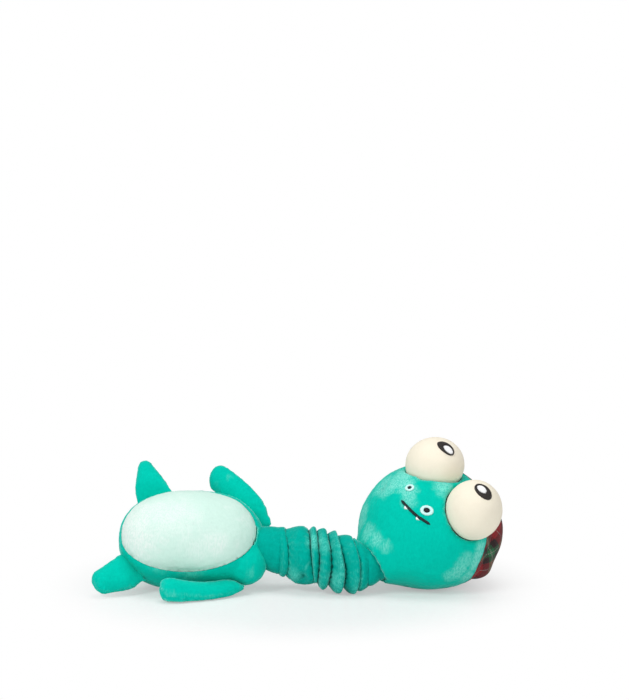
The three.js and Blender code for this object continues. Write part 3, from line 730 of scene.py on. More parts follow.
limb_plush = plush("teal_limb_plush", teal, deep_teal, pale_teal, patchy=(0.66, 0.86))
root_run = 0.012
for limb_name, root_pull, inward, longer, fuller, root_wide, tip_wide, low_root, high_tip in (
    ("near_arm", 0.0065, (-0.2, 0.9, 0.1), -0.0034, 0.0014, 0.9, 1.12, 0.34, 0.30),
    ("far_arm", 0.0070, (0.3, -0.3, -0.9), 0.0032, 0.0007, 0.95, 0.82, 0.0, 0.0),
    ("near_leg", 0.0060, (0.6, 0.7, 0.4), -0.0028, 0.0008, 1.1, 0.90, 0.0, 0.0),
    ("far_leg", 0.0060, (0.5, -0.2, -0.8), -0.0014, 0.0008, 1.15, 0.74, 0.0, 0.0),
):
    limb = own_copy(limb_name, limb_name + "_skin")
    hinge = joints[limb_name + "_flap"]
    root, root_seam = np.array(hinge["pos_m"]), np.array(hinge["axis"])
    points = points_of(limb)
    reach = points.mean(0) - root
    reach -= root_seam * (reach @ root_seam)
    reach /= np.linalg.norm(reach)
    stuffed(limb, 0.002, 0.0008, lambda p: (((p - root) @ reach) < 0.004).astype(float))
    points, normals = points_of(limb), normals_of(limb)
    middle = points.mean(0)
    flat_way = np.linalg.svd(points - middle, full_matrices=False)[2][2]
    sideways = np.abs(normals @ flat_way)
    out = (points - root) @ reach
    away = ease(out / 0.008)
    edge_seam = 0.0007 * np.clip(1 - (sideways / 0.3) ** 2, 0, 1)
    edge_seam *= (0.8 + 0.4 * lumps(points, 0.003, 4.0)) * away
    points += normals * (fuller * away + 0.00045 * lumps(points, 0.011, 6.0) - edge_seam
                         + 0.00018 * lumps(points, 0.002, 7.0))[:, None]
    share = np.clip(out / out.max(), 0, 1)
    points += reach * (longer * share)[:, None]
    aside = (points - middle) @ root_seam
    points += root_seam * (aside * (root_wide + (tip_wide - root_wide) * share - 1))[:, None]
    points += np.array(inward) * (root_pull * (1 - ease(out / root_run)))[:, None]
    points[:, 2] *= 1 + low_root * (share - 1) + high_tip * ease((share - 0.45) / 0.45)
    set_points(limb, on_floor(points, 0.001))
    marks_folds(limb, 10)
    bpy.ops.object.shade_smooth()
    limb.data.materials.append(limb_plush)
    root - reach * 0.002
    root + reach * 0.006
    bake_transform(limb)
    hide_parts(limb_name)


# Neck sleeve: one long tube of plush, gathered on to the elastic into full, uneven folds. Its
# torso end is left plain as a collar, and its head end is turned in under the head's seam.
def neck_frame(share):
    """Middle, direction, and the two ways across the neck at shares of its length."""
    at = np.clip(share, -0.02, 1.02) * line_steps
    index = np.arange(line_steps + 1)
    middle = np.column_stack([np.interp(at, index, neck_line[:, k]) for k in range(3)])
    slopes = np.gradient(neck_line, axis=0)
    way = np.column_stack([np.interp(at, index, slopes[:, k]) for k in range(3)])
    way /= np.linalg.norm(way, axis=1, keepdims=True)
    rise = np.array([0, 0, 1]) - way * way[:, 2:]
    rise /= np.linalg.norm(rise, axis=1, keepdims=True)
    return middle, way, rise, np.cross(way, rise)


def share_at(x):
    return float(np.interp(x, neck_line[:, 0], line_shares))


def around_neck(angle, top, front, bottom, back):
    """A value that runs smoothly round the neck through its top, front, bottom and back."""
    return ((top + front + bottom + back) / 4 + (top - bottom) / 2 * np.cos(angle)
            + (front - back) / 2 * np.sin(angle) + (top - front + bottom - back) / 4
            * np.cos(2 * angle))


# Each crease between two folds, in millimetres: where it lies along the toy and how deep it is
# drawn in, each at the top, the front, the bottom and the back; and for the fold after it, how
# far its crest leans towards the head, and how much fuller it hangs at the bottom
creases = (
    ((-13.0, -12.1, -12.5, -13.0), (0.5, 1.5, 1.0, 1.0), 0.0, 0.0),
    ((-8.2, -6.6, -8.2, -7.4), (1.6, 3.2, 2.6, 2.4), 0.0, 0.9),
    ((9.1, 9.8, 12.0, 8.0), (4.2, 5.0, 3.0, 4.2), 0.1, -3.0),
    ((14.7, 14.8, 13.4, 14.0), (3.6, 5.0, 3.6, 4.2), 0.3, 0.4),
    ((22.3, 23.2, 20.9, 21.0), (4.4, 5.6, 4.4, 4.4), 1.0, 1.0),
    ((28.9, 33.4, 31.6, 29.5), (4.0, 5.4, 5.0, 4.4), 1.3, 1.4),
    ((39.5, 45.0, 40.2, 38.0), (3.4, 5.2, 5.4, 4.0), 0.0, 0.0),
    ((50.0, 51.6, 51.0, 49.5), (0.4, 0.9, 1.6, 1.0), 0.0, 0.0),
    ((59.0, 60.4, 59.6, 58.6), (0.4, 0.6, 0.6, 0.4), 0.0, 0.0),
)


def along_toy(share, angle):
    """How far along the toy a point of the sleeve lies, before it is folded."""
    middle, way, rise, across = neck_frame(share)
    out = rise[:, 0] * np.cos(angle) + across[:, 0] * np.sin(angle)
    return middle[:, 0] + out * sleeve_radius(share)


def share_on(angle, place):
    """Share of the neck's length at which the sleeve crosses a crease."""
    wanted = around_neck(angle, *place) * 0.001
    share = np.interp(wanted, neck_line[:, 0], line_shares)
    for step in range(8):
        share = share + (wanted - along_toy(share, angle)) / neck_length
    return share


def folded(share, angle):
    """Radius of the sleeve and how far it leans along the neck, at a share and an angle."""
    wander = Vector((3.1, 0, 0))
    sway = np.array([noise.noise(Vector((math.cos(a), math.sin(a), s * 9)) + wander)
                     for s, a in zip(share, angle)])
    x = along_toy(share, angle) * 1000 + 0.9 * sway
    radius = sleeve_radius(share) * 1000 + 0.5 * sway
    lean = np.zeros_like(x)
    lines = [(around_neck(angle, *place), around_neck(angle, *deep), skew, sag)
             for place, deep, skew, sag in creases]
    low_side = np.clip(-np.cos(angle), 0, 1) ** 1.5
    for (start, deep, skew, sag), (end, next_deep, _, _) in zip(lines, lines[1:]):
        wide = np.maximum(end - start, 0.3)
        run = np.clip((x - start) / wide, 0, 1)
        within = (x >= start) & (x < end)
        pillow = np.sin(math.pi * run ** (1 + skew)) ** 0.55
        shallow = np.clip(wide / 5, 0.15, 1)
        drawn = (deep * (1 - run) + next_deep * run) * shallow
        gather = np.exp(-np.minimum(run, 1 - run) * wide / 1.8)
        ripple = 0.5 * np.cos(angle * 17 + 6 * sway + start.mean()) * gather * shallow
        ripple = ripple * np.clip(wide / 8, 0, 1) ** 2 * np.clip(drawn / 3 - 0.3, 0, 1)
        fold = radius + drawn * (pillow - 1) + sag * low_side * pillow + ripple
        radius = np.where(within, fold, radius)
        lean = np.where(within, skew * 1.6 * pillow * run, lean)
    first, deep, _, _ = lines[0]
    before = deep * np.exp(-np.abs(x - first) / 3.0)
    radius = np.where(x < first, radius - before, radius)
    last, deep, _, _ = lines[-1]
    radius = np.where(x >= last, radius - deep * np.exp(-np.abs(x - last) / 2.0), radius)
    hollow = np.exp(-((x - 3.9) / 2.9) ** 2 - ((angle - math.radians(132)) / 0.32) ** 2)
    return (radius - 3.4 * hollow) * 0.001, lean * 0.001


sleeve_cut_width, sleeve_thickness = 0.134, 0.0014


def strip(name, columns, rows):
    """A flat strip to be rolled or bent into place, and the share of its width and of its length
    at which each of its points lies."""
    bpy.ops.object.select_all(action="DESELECT")
    bpy.ops.mesh.primitive_grid_add(x_subdivisions=columns, y_subdivisions=rows, size=2)
    piece = bpy.context.active_object
    piece.name = piece.data.name = name
    return piece, (points_of(piece)[:, :2] + 1) / 2


def round_neck(share, angle, radius, lean):
    """Places round the neck's line, moved along it by lean."""
    middle, way, rise, across = neck_frame(share)
    return middle + way * lean[:, None] + (
        rise * (np.cos(angle) * radius)[:, None] + across * (np.sin(angle) * radius)[:, None])


def from_neck_middle(points):
    return points - neck_frame(np.full(1, 0.5))[0]


def sleeve_part(name, start, end, rings):
    """A length of the sleeve, from one crease to another: a flat strip rolled round the neck's
    line and joined up."""
    piece, flat = strip(name, 144, rings)
    angle = flat[:, 0] * 2 * math.pi
    first = share_on(angle, creases[start][0]) if start else 0
    last = share_on(angle, creases[end][0]) if end else 1
    share = first + flat[:, 1] * (last - first)
    set_points(piece, round_neck(share, angle, *folded(share, angle)))
    joined_up(piece, 0.00001, from_neck_middle)
    points, normals = points_of(piece), normals_of(piece)
    points += normals * (0.00018 * lumps(points, 0.0021, 9.0))[:, None]
    set_points(piece, on_floor(points, 0.001))
    # The folds get painted highlights and painted shade, and painted light on their flanks that
    # face -X
    marks_folds(piece, 20, 0.7)
    cut_length = sum(face.area for face in piece.data.polygons) / sleeve_cut_width
    apply(piece, "SOLIDIFY", thickness=sleeve_thickness, offset=-1)
    bpy.ops.object.shade_smooth_by_angle(angle=math.radians(70))
    return piece


neck_plush = plush(
    "teal_neck_plush", "00ae9e", "008879", "6adccb",
    [((0.013, -0.025, 0.038), 0.008, 0.6), ((0.027, -0.033, 0.012), 0.008, 0.4),
     ((-0.001, -0.024, 0.013), 0.008, 0.5), ((0.022, -0.03, 0.036), 0.006, 0.4)],
    patchy=(0.64, 0.86),
)
# The sleeve is made in three lengths, which meet at its creases
collar = sleeve_part("neck_collar", None, 1, 70)
folds = sleeve_part("neck_folds", 1, 6, 150)
head_tuck = sleeve_part("neck_head_tuck", 6, None, 60)
collar_from, collar_to, folds_from, folds_to, tuck_from, tuck_to = (
    Vector(neck_frame(np.array([share]))[0][0]) for share in (
        0.02, share_at(-0.0125), share_at(-0.003), share_at(0.032), share_at(0.051), 0.93,
    )
)
for part in (collar, folds, head_tuck):
    part.data.materials.append(neck_plush)
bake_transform(collar)
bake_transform(folds)
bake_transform(head_tuck)
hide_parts("neck_sleeve")


# Elastic cord: a thick braided bungee inside the sleeve, sewn at each end to a tab of webbing.
# Tugging the head stretches it, and it draws the folds together again.
cord_radius, cord_end_from = 0.003, 0.97
cord_low, cord_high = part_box("bungee_cord")
cord_shares = (share_at(cord_low.x + 0.0008), share_at(cord_high.x - 0.0012))


def braided_elastic():
    braid = Finish("braided_elastic")
    strands = braid.add("ShaderNodeUVMap", {"uv_map": "braid"})
    along, round_it = braid.axis(strands, "X"), braid.axis(strands, "Y")
    yarn = ((along + round_it) * math.tau).wave().larger(((along - round_it) * math.tau).wave())
    fuzz = braid.cloud(braid.place(), 0.0006, 2)
    return braid.surface(
        Base_Color=braid.blend(yarn.between(-0.2, 0.9) * fuzz.between(0.1, 0.6, 0.6, 1),
                               "c9c5b8", "f1eee4"),
        Roughness=fuzz.between(0.2, 0.8, 0.7, 0.85), Normal=braid.bump(yarn, 0.0004, 0.8),
    )


def keep_weave(piece, name, places):
    """Keeps each point's place in the flat cloth, for the material to lay its yarns by."""
    weave = piece.data.uv_layers.new(name=name)
    for corner in piece.data.loops:
        weave.data[corner.index].uv = places[corner.vertex_index]


elastic_cord, flat = strip("elastic_cord", 24, 160)
angle = flat[:, 0] * 2 * math.pi
share = cord_shares[0] + flat[:, 1] * (cord_shares[1] - cord_shares[0])
to_end = np.abs(2 * flat[:, 1] - 1)
end_round = np.sqrt(np.clip(1 - ((to_end - cord_end_from) / (1 - cord_end_from)) ** 2, 0, 1))
radius = cord_radius * np.where(to_end > cord_end_from, end_round, 1)
keep_weave(elastic_cord, "braid", flat[:, ::-1] * (24, 4))
set_points(elastic_cord, round_neck(share, angle, radius, np.zeros(len(flat))))
joined_up(elastic_cord, 0.00001, from_neck_middle)
bpy.ops.object.shade_smooth()
elastic_cord.data.materials.append(braided_elastic())
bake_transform(elastic_cord)
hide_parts("bungee_cord")


def webbing():
    """Flat nylon webbing: a herringbone of thick yarns."""
    band = Finish("teal_webbing")
    here = band.place()
    y, z = band.axis(here, "Y"), band.axis(here, "Z")
    ribs = (y * 3900).wave() * 0.5 + (z * 2400 + (y * 1300).wave()).wave() * 0.5
    fuzz = band.cloud(here, 0.0008, 2)
    return band.surface(
        Base_Color=band.blend(ribs.between(-0.6, 0.6), "136a5f", "26a090"),
        Roughness=fuzz.between(0.2, 0.8, 0.6, 0.75), Normal=band.bump(ribs + fuzz, 0.0003, 0.7),
    )


def give(node, material):
    """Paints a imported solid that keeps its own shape."""
    solid = frame["nodes"][node]
    solid.data.materials.clear()
    solid.data.materials.append(material)


tab_webbing = webbing()
for tab in ("torso_anchor", "head_anchor"):
    give(tab, tab_webbing)


# Neck seam ring: the turned-in seam allowances of the sleeve and the head, a soft roll of cloth
# that the head nods and turns on.
nod_way = Vector(joints["head_nod"]["axis"])
bpy.ops.object.select_all(action="DESELECT")
bpy.ops.mesh.primitive_torus_add(
    major_radius=0.0155, minor_radius=0.0014, major_segments=96, minor_segments=20,
    location=neck_seam, rotation=head_turn_way.to_track_quat("Z", "Y").to_euler(),
)
seam_roll = bpy.context.active_object
seam_roll.name = seam_roll.data.name = "neck_seam_roll"
bpy.ops.object.transform_apply(location=True, rotation=True, scale=True)
raised(seam_roll, lambda points: 0.00035 * lumps(points, 0.0028, 1.0))
bpy.ops.object.shade_smooth()
finished(seam_roll, neck_plush, "head_swivel", "neck_seam_ring")


# Head: a round ball of teal plush sewn from gores, stuffed full, with a dimple under each ball
# eye and the neck sewn into its underside. Its own weight flattens it where it lies.
head_half = np.array((0.049, 0.0485, 0.044))
crown_way = Vector((0.85, 0.11, 0.518)).normalized()
face_way = -Vector(joints["head_press"]["axis"]).normalized()
face_way = (face_way - crown_way * face_way.dot(crown_way)).normalized()
side_way = crown_way.cross(face_way)
head_axes = np.array([side_way, crown_way, face_way])
face_out, seam_spot, seam_way = np.array(face_way), np.array(neck_seam), np.array(head_turn_way)
upper_eye = np.array(joints["upper_eye_rock"]["pos_m"])
head_middle = upper_eye - np.array((-0.0249, 0.0293, 0.0277)) @ head_axes
eye_radius = 0.0214
# The stitches pull each ball a little out of round: its middle, and its size along the toy,
# across it and upwards
upper_ball = (upper_eye + (0.0001, 0, 0.0012), np.array((1.005, 1, 0.93)))
lower_ball = (np.array(joints["lower_eye_rock"]["pos_m"]) + (-0.0010, 0, -0.0005),
              np.array((0.962, 1, 1.015)))
head_drop = float(np.linalg.norm(head_half * head_axes[:, 2]))
head_press_share = 0.886


def flattened(points):
    """Presses the lower half of the head's forms down on the floor."""
    z = points[:, 2]
    down = np.maximum(0, (head_middle[2] - z) / head_drop)
    points[:, 2] = z + head_drop * (1 - head_press_share) * down * down
    return points


def head_form(name, inset):
    piece = ball(name)
    points = points_of(piece) * (head_half - inset) @ head_axes + head_middle
    set_points(piece, flattened(points))
    return piece


def clear_of_eyes(points, gap):
    """Dimples the cloth under the two ball eyes, up to their widest ring."""
    soft = 0.0012
    for eye, shape in (upper_ball, lower_ball):
        outward = (eye - head_middle) / np.linalg.norm(eye - head_middle)
        from_eye = (points - eye) / shape
        aside = lengths(from_eye - (from_eye @ outward)[:, None] * outward)
        wanted = eye_radius + gap
        sunk = 0.014 * np.clip(1.04 - aside / wanted, 0, 1)
        from_eye = np.where((lengths(from_eye) < wanted)[:, None],
                            from_eye - sunk[:, None] * outward, from_eye)
        far = np.maximum(np.linalg.norm(from_eye, axis=1, keepdims=True), 1e-6)
        out = 0.5 * (far + wanted + np.sqrt((far - wanted) ** 2 + soft * soft)) - soft * 0.2
        near = far < wanted + 0.008
        points = np.where(near, eye + from_eye / far * out * shape, points)
    return points


def from_neck(points):
    """How far points lie from the neck seam's axis, and how far along it into the head."""
    from_seam = points - seam_spot
    along = from_seam @ seam_way
    return lengths(from_seam - along[:, None] * seam_way), along


def head_seams(points):
    held = np.zeros(len(points))
    for eye, _ in (upper_ball, lower_ball):
        held = np.maximum(held, lengths(points - eye) < eye_radius + 0.003)
    out, along = from_neck(points)
    return np.maximum(held, (out < 0.02) & (along < 0.015))


neck_hole, lip_reach = 0.0150, 0.02
head_skin = head_form("head_skin", -0.0006)
set_points(head_skin, clear_of_eyes(points_of(head_skin), 0))
stuffed(head_skin, 0.0034, 0.0025, head_seams)
apply(head_skin, "SUBSURF", levels=1, render_levels=1)
points, normals = points_of(head_skin), normals_of(head_skin)
points += normals * (0.0007 * lumps(points, 0.022, 11.0)
                     + 0.00022 * lumps(points, 0.0022, 12.0))[:, None]
low = ease(1 - points[:, 2] / 0.022)
to_crown = ease((points[:, 0] - head_middle[0] + 0.02) / 0.04)
points[:, :2] += (head_middle[:2] - points[:, :2]) * ((0.11 - 0.22 * to_crown) * low)[:, None]
for eye, puff in ((upper_ball[0], 0.0028), (lower_ball[0], 0.0014)):
    from_eye = points - eye
    from_rim = lengths(from_eye)
    front = ease((from_eye @ face_out / from_rim + 0.1) / 0.7)
    puffed = puff * front * np.exp(-((from_rim - eye_radius) / 0.006) ** 2)
    points += normals * puffed[:, None]
dent = lengths(points - (0.0596, -0.0034, 0.0747))
points -= normals * (0.0022 * np.exp(-(dent / 0.008) ** 2))[:, None]
points = clear_of_eyes(points, 0.0001)
out, along = from_neck(points)
at_lip, beyond = along < lip_reach, np.maximum(out - neck_hole, 0)
gathered = np.exp(-((out - neck_hole) / 0.005) ** 2) * at_lip
tucked = np.exp(-(beyond / 0.0016) ** 2) * at_lip
drawn_out = np.exp(-(beyond / 0.008) ** 2) * at_lip
turn = np.arctan2((points - seam_spot) @ np.array(nod_way),
                  (points - seam_spot) @ np.array(nod_way.cross(head_turn_way)))
points += normals * (0.00025 * np.cos(turn * 13 + 3 * lumps(points, 0.02, 3.0)) * gathered
                     - 0.0012 * tucked)[:, None]
points -= seam_way * (0.0058 * drawn_out)[:, None]
set_points(head_skin, on_floor(points, 0.0012))


def in_neck_hole(points):
    out, along = from_neck(points)
    return (out < neck_hole) & (along < 0.03)


def onto_neck_hole(points, normals):
    out, along = from_neck(points)
    axis = seam_spot + along[:, None] * seam_way
    return axis + (points - axis) / np.maximum(out, 1e-9)[:, None] * neck_hole


cut_away(head_skin, in_neck_hole, onto_neck_hole)
marks_folds(head_skin)
apply(head_skin, "SOLIDIFY", thickness=cloth_thickness, offset=-1)
bpy.ops.object.shade_smooth()


def on_face(x, y):
    """A point of the head's front, by its place across the face and up it."""
    z = math.sqrt(max(0, 1 - (x / head_half[0]) ** 2 - (y / head_half[1]) ** 2)) * head_half[2]
    return flattened(np.array([[x, y, z]]) @ head_axes + head_middle)[0]


finished(head_skin, plush(
    "teal_head_plush", teal, deep_teal, pale_teal,
    [(tuple(on_face(x * 0.001, y * 0.001)), wide * 0.001, pale) for x, y, wide, pale in (
        (-25, 4, 12, 0.9), (-23.5, -3.2, 10, 0.9), (-30, 8, 9, 0.8), (-23, -11, 8, 0.7),
        (-31, -9, 11, 0.8), (-16, 3, 10, 0.9), (-10.5, 3, 9, 0.9), (-4, 0, 7, 0.75),
        (0.5, -0.5, 6, 0.6), (-0.8, 26, 9, 0.8), (4, 24, 7, 0.5), (-26, -30, 7, 0.7),
        (-20, -36, 7, 0.6), (-6, -36, 7, 0.6), (4.6, -33.3, 7, 0.8), (12.5, -31, 6, 0.6),
        (46.4, 10.4, 8, 0.6), (48, 3, 9, 0.7), (48, -4, 7, 0.5),
    )] + [
        ((0.1325, -0.0255, 0.0343), 0.007, 0.9), ((0.1308, -0.0258, 0.0281), 0.007, 1),
        ((0.1287, -0.0241, 0.0212), 0.008, 1), ((0.1223, -0.0241, 0.0139), 0.007, 0.8),
    ],
    patchy=(0.7, 0.95),
), "head", "head_plush")


# Head stuffing: the same loose polyester fibre, pushed in by hand through the neck hole. It leaves
# a pocket for the squeaker behind the face and room for the end of the neck.
head_neck_pocket = 0.0185
head_seat = head_middle + np.array((0, -0.010, 0.006)) @ head_axes
head_fill = clumped(head_form("head_fill", fill_inset), 13.0)
set_points(head_fill, clear_of_eyes(points_of(head_fill), 0.0045))
bored(head_fill, squeaker_pocket, head_seat - face_out * 0.0003, head_seat + face_out * 0.05)
bored(head_fill, head_neck_pocket, neck_seam - head_turn_way * 0.03,
      neck_seam + head_turn_way * 0.0105)
finished(head_fill, white_fibre, "head", "head_stuffing")


# Squeakers: moulded in soft clear-white plastic, a ribbed bellows over a base with a reed in it.
# One lies in its pocket of fibre under the belly, and one behind the face.
def squeaker_plastic():
    plastic = Finish("squeaker_plastic")
    here = plastic.place()
    haze = plastic.cloud(here, 0.005, 3)
    grain = plastic.cloud(here, 0.0004, 2)
    return plastic.surface(
        Base_Color=plastic.blend(haze, "ece9de", "f8f6ef"),
        Roughness=grain.between(0.3, 0.7, 0.34, 0.5), Normal=plastic.bump(grain, 0.0001, 0.4),
    )


moulded = squeaker_plastic()
for place, press in (("torso", "belly_press"), ("head", "head_press")):
    give(place + "_squeaker_base", moulded)
    give(place + "_squeaker_reed", moulded)
    # Each bellows is its own copy of the solid, measured along the way it is pressed
    bellows = own_copy(place + "_squeaker_bellows", place + "_bellows_wall")
    bpy.ops.object.shade_smooth_by_angle(angle=math.radians(40))
    press_out = -Vector(joints[press]["axis"]).normalized()
    heights = points_of(bellows) @ np.array(press_out)
    finished(bellows, moulded, place, place + "_squeaker_bellows")
    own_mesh(bellows)


# Check panel: a padded oval of woven check cotton over the crown and the back of the head,
# folded in at its rim and sewn down on the plush.
panel_half = np.array((0.049, 0.031, 0.025))
panel_back = math.radians(45)
panel_out = np.array((0, math.cos(panel_back), -math.sin(panel_back)))
panel_up = np.array((0, math.sin(panel_back), math.cos(panel_back)))
panel_axes = np.array([(1, 0, 0), panel_up, -panel_out])
panel_offset, weave_unit = 0.030, 0.1
head_surface = BVHTree.FromObject(head_skin, bpy.context.evaluated_depsgraph_get())


def on_head(points, gap):
    """Keeps a piece outside the head's cloth."""
    middle = Vector(head_middle)
    kept = []
    for point in points:
        out = Vector(point) - middle
        way = out.normalized()
        hit = head_surface.ray_cast(middle + way * 0.2, -way)[0]
        least = (hit - middle).length + gap if hit else 0
        kept.append(middle + way * max(out.length, least))
    return np.array(kept)


panel = ball("check_pad", 128, 96)
local = points_of(panel) * panel_half @ panel_axes + panel_out * panel_offset
points = flattened(local @ head_axes + head_middle)
puff = 0.0006 * lumps(points, 0.016, 14.0)
points += (points - points.mean(0)) / 0.04 * puff[:, None]
right = np.clip((points[:, 0] - head_middle[0]) / 0.045, 0, 1)
points[:, 0] -= 0.0056 * right * np.exp(-((points[:, 2] - 0.018) / 0.012) ** 2)
points[:, 0] += 0.0032 * right * np.exp(-((points[:, 2] - 0.050) / 0.012) ** 2)
points = clear_of_eyes(on_head(points, 0.0002), 0.0008)
set_points(panel, on_floor(points, 0.001))
bpy.ops.object.shade_smooth()

# The cloth lies on the head like a cap, so its weave is measured from the middle of the panel
spread = (points - head_middle) @ head_axes.T @ panel_axes.T
aside = np.hypot(spread[:, 0], spread[:, 1])
run = 0.052 * np.arctan2(aside, -spread[:, 2])
cloth_place = spread[:, :2] * (run / np.maximum(aside, 1e-9))[:, None]
keep_weave(panel, "cloth", cloth_place / weave_unit)


def check_cotton():
    """Woven check: the same stripes in the warp and the weft, crossing in a twill."""
    cotton = Finish("check_cotton")
    cloth = cotton.add("ShaderNodeUVMap", {"uv_map": "cloth"})
    x, y = cotton.axis(cloth, "X") * weave_unit, cotton.axis(cloth, "Y") * weave_unit
    red, dark, green, pale = "8c0d18", "220a0c", "17683f", "a09792"
    sett, yarn = 0.036, 0.0008

    def stripes(along, offset):
        """Colour of the yarns at a place across the cloth: one sett, over and over."""
        turn = (along + offset) / sett
        share = turn - turn.sum("FLOOR", turn)
        colour = red
        for start, next_colour in ((0.34, dark), (0.50, green), (0.66, dark), (0.82, red)):
            colour = cotton.blend(share.between(start, start + 0.001), colour, next_colour)
        for line in (0.16, 0.58):
            near = (share - line).size()
            colour = cotton.blend(near.between(0.012, 0.009) * 0.8, colour, pale)
        return colour

    twill = ((x + y) * (math.tau / (yarn * 2))).wave()
    threads = ((x * (math.tau / yarn)).wave() + (y * (math.tau / yarn)).wave()) * 0.5
    slub = cotton.cloud(cotton.place((1, 0.3, 1)), 0.0012, 2)
    colour = cotton.blend(twill.between(-0.3, 0.3), stripes(x, 0.009), stripes(y, 0.002))
    return cotton.surface(
        Base_Color=cotton.blend(slub.between(0.3, 0.8) * 0.25, colour, "3a2324"),
        Roughness=slub.between(0.2, 0.8, 0.9, 0.78),
        Normal=cotton.bump(twill * 0.6 + threads * 0.4, 0.0003, 0.6), Sheen_Weight=0.04,
    )


finished(panel, check_cotton(), "head", "check_panel")


# Ball eyes: two balls of cream plush, stuffed hard and sewn into the dimples of the head by a few
# stitches, so that they rock a little.
cream_plush = plush("cream_eye_plush", "f3ebd8", "eee4cf", "faf4e6",
                    patchy=(0.55, 0.85), lay=(1, 0.5, 1), shine=0.1, tint=(1, 1, 1, 1))
for eye_name, (centre, shape) in (("upper", upper_ball), ("lower", lower_ball)):
    eye = ball(eye_name + "_eye_skin", 96, 64)
    points = points_of(eye) @ head_axes
    swell = 0.0003 * lumps(points, 0.5, 15.0) + 0.00008 * lumps(points, 0.07, 16.0)
    set_points(eye, points * (eye_radius - 0.0002 + swell)[:, None] * shape + centre)
    bpy.ops.object.shade_smooth()
    finished(eye, cream_plush, eye_name + "_eye", eye_name + "_eye_ball")


# Embroidery: satin stitch in thick thread. Each pupil of a ball eye is a dark ring round a white
# spot; the small face on the head has two eyes, a mouth and two teeth.
thread_pitch, thread_thickness = 0.0006, 0.0006


def satin(name, colour, second):
    """Rows of shiny thread laid side by side over a patch."""
    sewn = Finish(name)
    across = sewn.axis(sewn.add("ShaderNodeUVMap", {"uv_map": "stitch"}), "X")
    rows = (across * (math.tau * weave_unit / thread_pitch)).wave()
    fuzz = sewn.cloud(sewn.place(), 0.0007, 2)
    return sewn.surface(
        Base_Color=sewn.blend(rows.between(-1, 1) * 0.6 + fuzz * 0.4, second, colour),
        Roughness=rows.between(-1, 1, 0.7, 0.5), Normal=sewn.bump(rows, 0.0002, 0.35),
        Specular_IOR_Level=0.3,
    )


black_satin = satin("black_thread", "3b3532", "1c1917")
white_satin = satin("white_thread", "ffffff", "f2f2f2")
mint_satin = satin("mint_thread", "e0fdfa", "b6efe8")
navy_satin = satin("navy_thread", "20242e", "0e1016")
mouth_satin = satin("mouth_thread", "16302f", "0a1a1a")


def stitched(name, columns, rows, outline, carrier, lay_out, height=0.0008, closed=False,
             filled=False):
    """A patch of satin stitch on a piece. outline gives the place on the patch, in metres, for
    shares along and across it; lay_out gives where that lies over the piece and the way down."""
    piece, flat = strip(name, columns, rows)
    spots = np.array([outline(u, v) for u, v in flat])
    edge = flat[:, 1] if filled else 2 * flat[:, 1] - 1
    rounded = np.sqrt(np.clip(1 - edge ** 6, 0, 1))
    if not closed:
        rounded = np.minimum(rounded, np.sqrt(np.clip(1 - (2 * flat[:, 0] - 1) ** 10, 0, 1)))
    base, down = lay_out(spots)
    tree = BVHTree.FromObject(carrier, bpy.context.evaluated_depsgraph_get())
    placed = []
    for spot, way, full in zip(base, down, rounded):
        hit = tree.ray_cast(Vector(spot), Vector(way))[0]
        placed.append((hit if hit else Vector(spot)) - Vector(way) * (0.0001 + height * full))
    set_points(piece, placed)
    keep_weave(piece, "stitch", spots / weave_unit)
    joined_up(piece, 0.000005, lambda points: -np.array(down[0]))
    apply(piece, "SOLIDIFY", thickness=thread_thickness, offset=-1)
    bpy.ops.object.shade_smooth()
    return piece


def oval_ring(x, y, half_width, half_height, hole, turn, hole_x=0.0):
    """Outline of an oval ring, by shares round it and across it."""
    def outline(u, v):
        angle = u * 2 * math.pi
        grow = hole + (1 - hole) * v
        px = math.cos(angle) * half_width * grow + hole_x * (1 - v)
        py = math.sin(angle) * half_height * grow
        return (x + px * math.cos(turn) - py * math.sin(turn),
                y + px * math.sin(turn) + py * math.cos(turn))
    return outline


def above(axes, middle, height):
    """A patch held over a ball, to be laid straight down along the last of its axes."""
    def lay_out(spots):
        base = np.column_stack([spots, np.full(len(spots), height)]) @ axes + middle
        return base, np.tile(-axes[2], (len(spots), 1))
    return lay_out


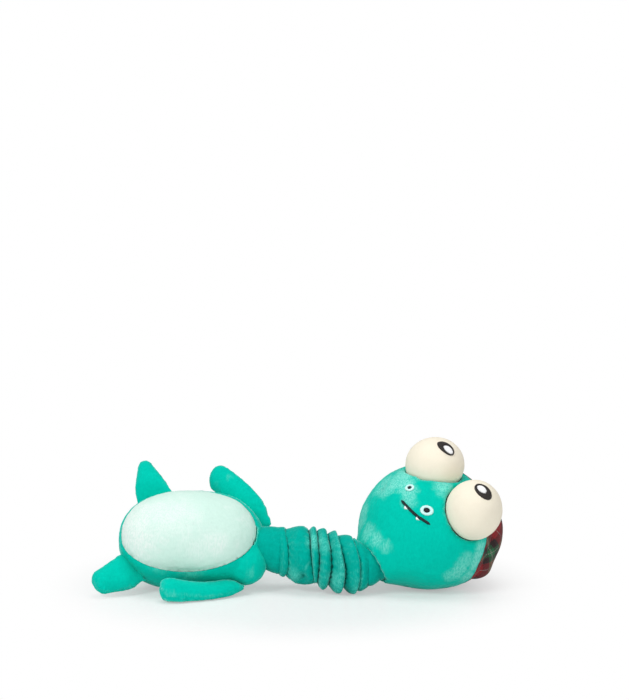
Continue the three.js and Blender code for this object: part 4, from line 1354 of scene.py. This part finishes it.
over_head = above(head_axes, head_middle, 0.08)
small_eye_tilt = math.radians(50)
for eye_name, centre, aim, wide, high, hole, glint_side, tilt in (
    ("upper", upper_ball[0], (0.109, 0.622, 0.775), 0.0073, 0.0049, 0.60, 0.0023,
     math.radians(22)),
    ("lower", lower_ball[0], (0.038, 0.582, 0.813), 0.0076, 0.0056, 0.56, -0.0019,
     math.radians(14)),
):
    carrier = bpy.data.objects[eye_name + "_eye_skin"]
    look = Vector(np.array(Vector(aim).normalized()) @ head_axes)
    across = (side_way - look * side_way.dot(look)).normalized()
    over_ball = above(np.array([across, look.cross(across), look]), centre, 0.04)
    ring = stitched(f"{eye_name}_eye_pupil", 72, 8,
                    oval_ring(0, 0, wide, high, hole, tilt, glint_side), carrier, over_ball,
                    closed=True)
    finished(ring, black_satin, eye_name + "_eye", eye_name + "_pupil")
    gx, gy = glint_side * math.cos(tilt), glint_side * math.sin(tilt)
    spot = stitched(f"{eye_name}_eye_glint", 48, 6,
                    oval_ring(gx, gy, wide * hole, high * hole, 0.002, tilt), carrier, over_ball,
                    closed=True, filled=True)
    finished(spot, white_satin, eye_name + "_eye", eye_name + "_glint")

for side_name, x, y, half_width, half_height, pupil in (
    ("left", -0.0119, 0.0052, 0.0036, 0.0030, 0.0014),
    ("right", 0.0113, 0.0067, 0.0048, 0.0038, 0.0021),
):
    patch = stitched(f"{side_name}_small_eye", 56, 7,
                     oval_ring(x, y, half_width, half_height, pupil / half_width, small_eye_tilt),
                     head_skin, over_head, closed=True)
    finished(patch, mint_satin, "head", side_name + "_stitched_eye")
    dot = stitched(f"{side_name}_small_pupil", 40, 5,
                   oval_ring(x, y, pupil, pupil * 0.85, 0.002, small_eye_tilt), head_skin,
                   over_head, 0.0009, closed=True, filled=True)
    finished(dot, navy_satin, "head", side_name + "_stitched_pupil")

mouth_points, mouth_length = smooth_line(np.array([
    (-6.3, -4.7, 0), (0.4, -3.8, 0), (6.6, -2.6, 0), (12.4, -0.9, 0), (14.7, 0.3, 0),
    (21.1, 3.4, 0),
]) * 0.001)
mouth_half = 0.00105


def mouth_outline(u, v):
    x, y = (np.interp(u, line_shares, mouth_points[:, k]) for k in (0, 1))
    slope = np.gradient(mouth_points, axis=0)[min(int(u * line_steps), line_steps)]
    along = slope / np.linalg.norm(slope)
    half = mouth_half * min(1, (min(u, 1 - u) * mouth_length + 0.0004) / 0.0022)
    off = (2 * v - 1) * half
    return x - along[1] * off, y + along[0] * off


mouth = stitched("mouth_line", 90, 6, mouth_outline, head_skin, over_head, 0.0009)
finished(mouth, mouth_satin, "head", "mouth_stitch")

for side_name, x, y, width, drop in (
    ("left", 0.0012, -0.0043, 0.0044, 0.0019), ("right", 0.0128, -0.0015, 0.0040, 0.0018),
):
    def tooth_outline(u, v):
        return x + (2 * v - 1) * width / 2 * (1 - 0.9 * u), y - drop * u

    tooth = stitched(f"{side_name}_small_tooth", 12, 12, tooth_outline, head_skin, over_head)
    finished(tooth, white_satin, "head", side_name + "_tooth")
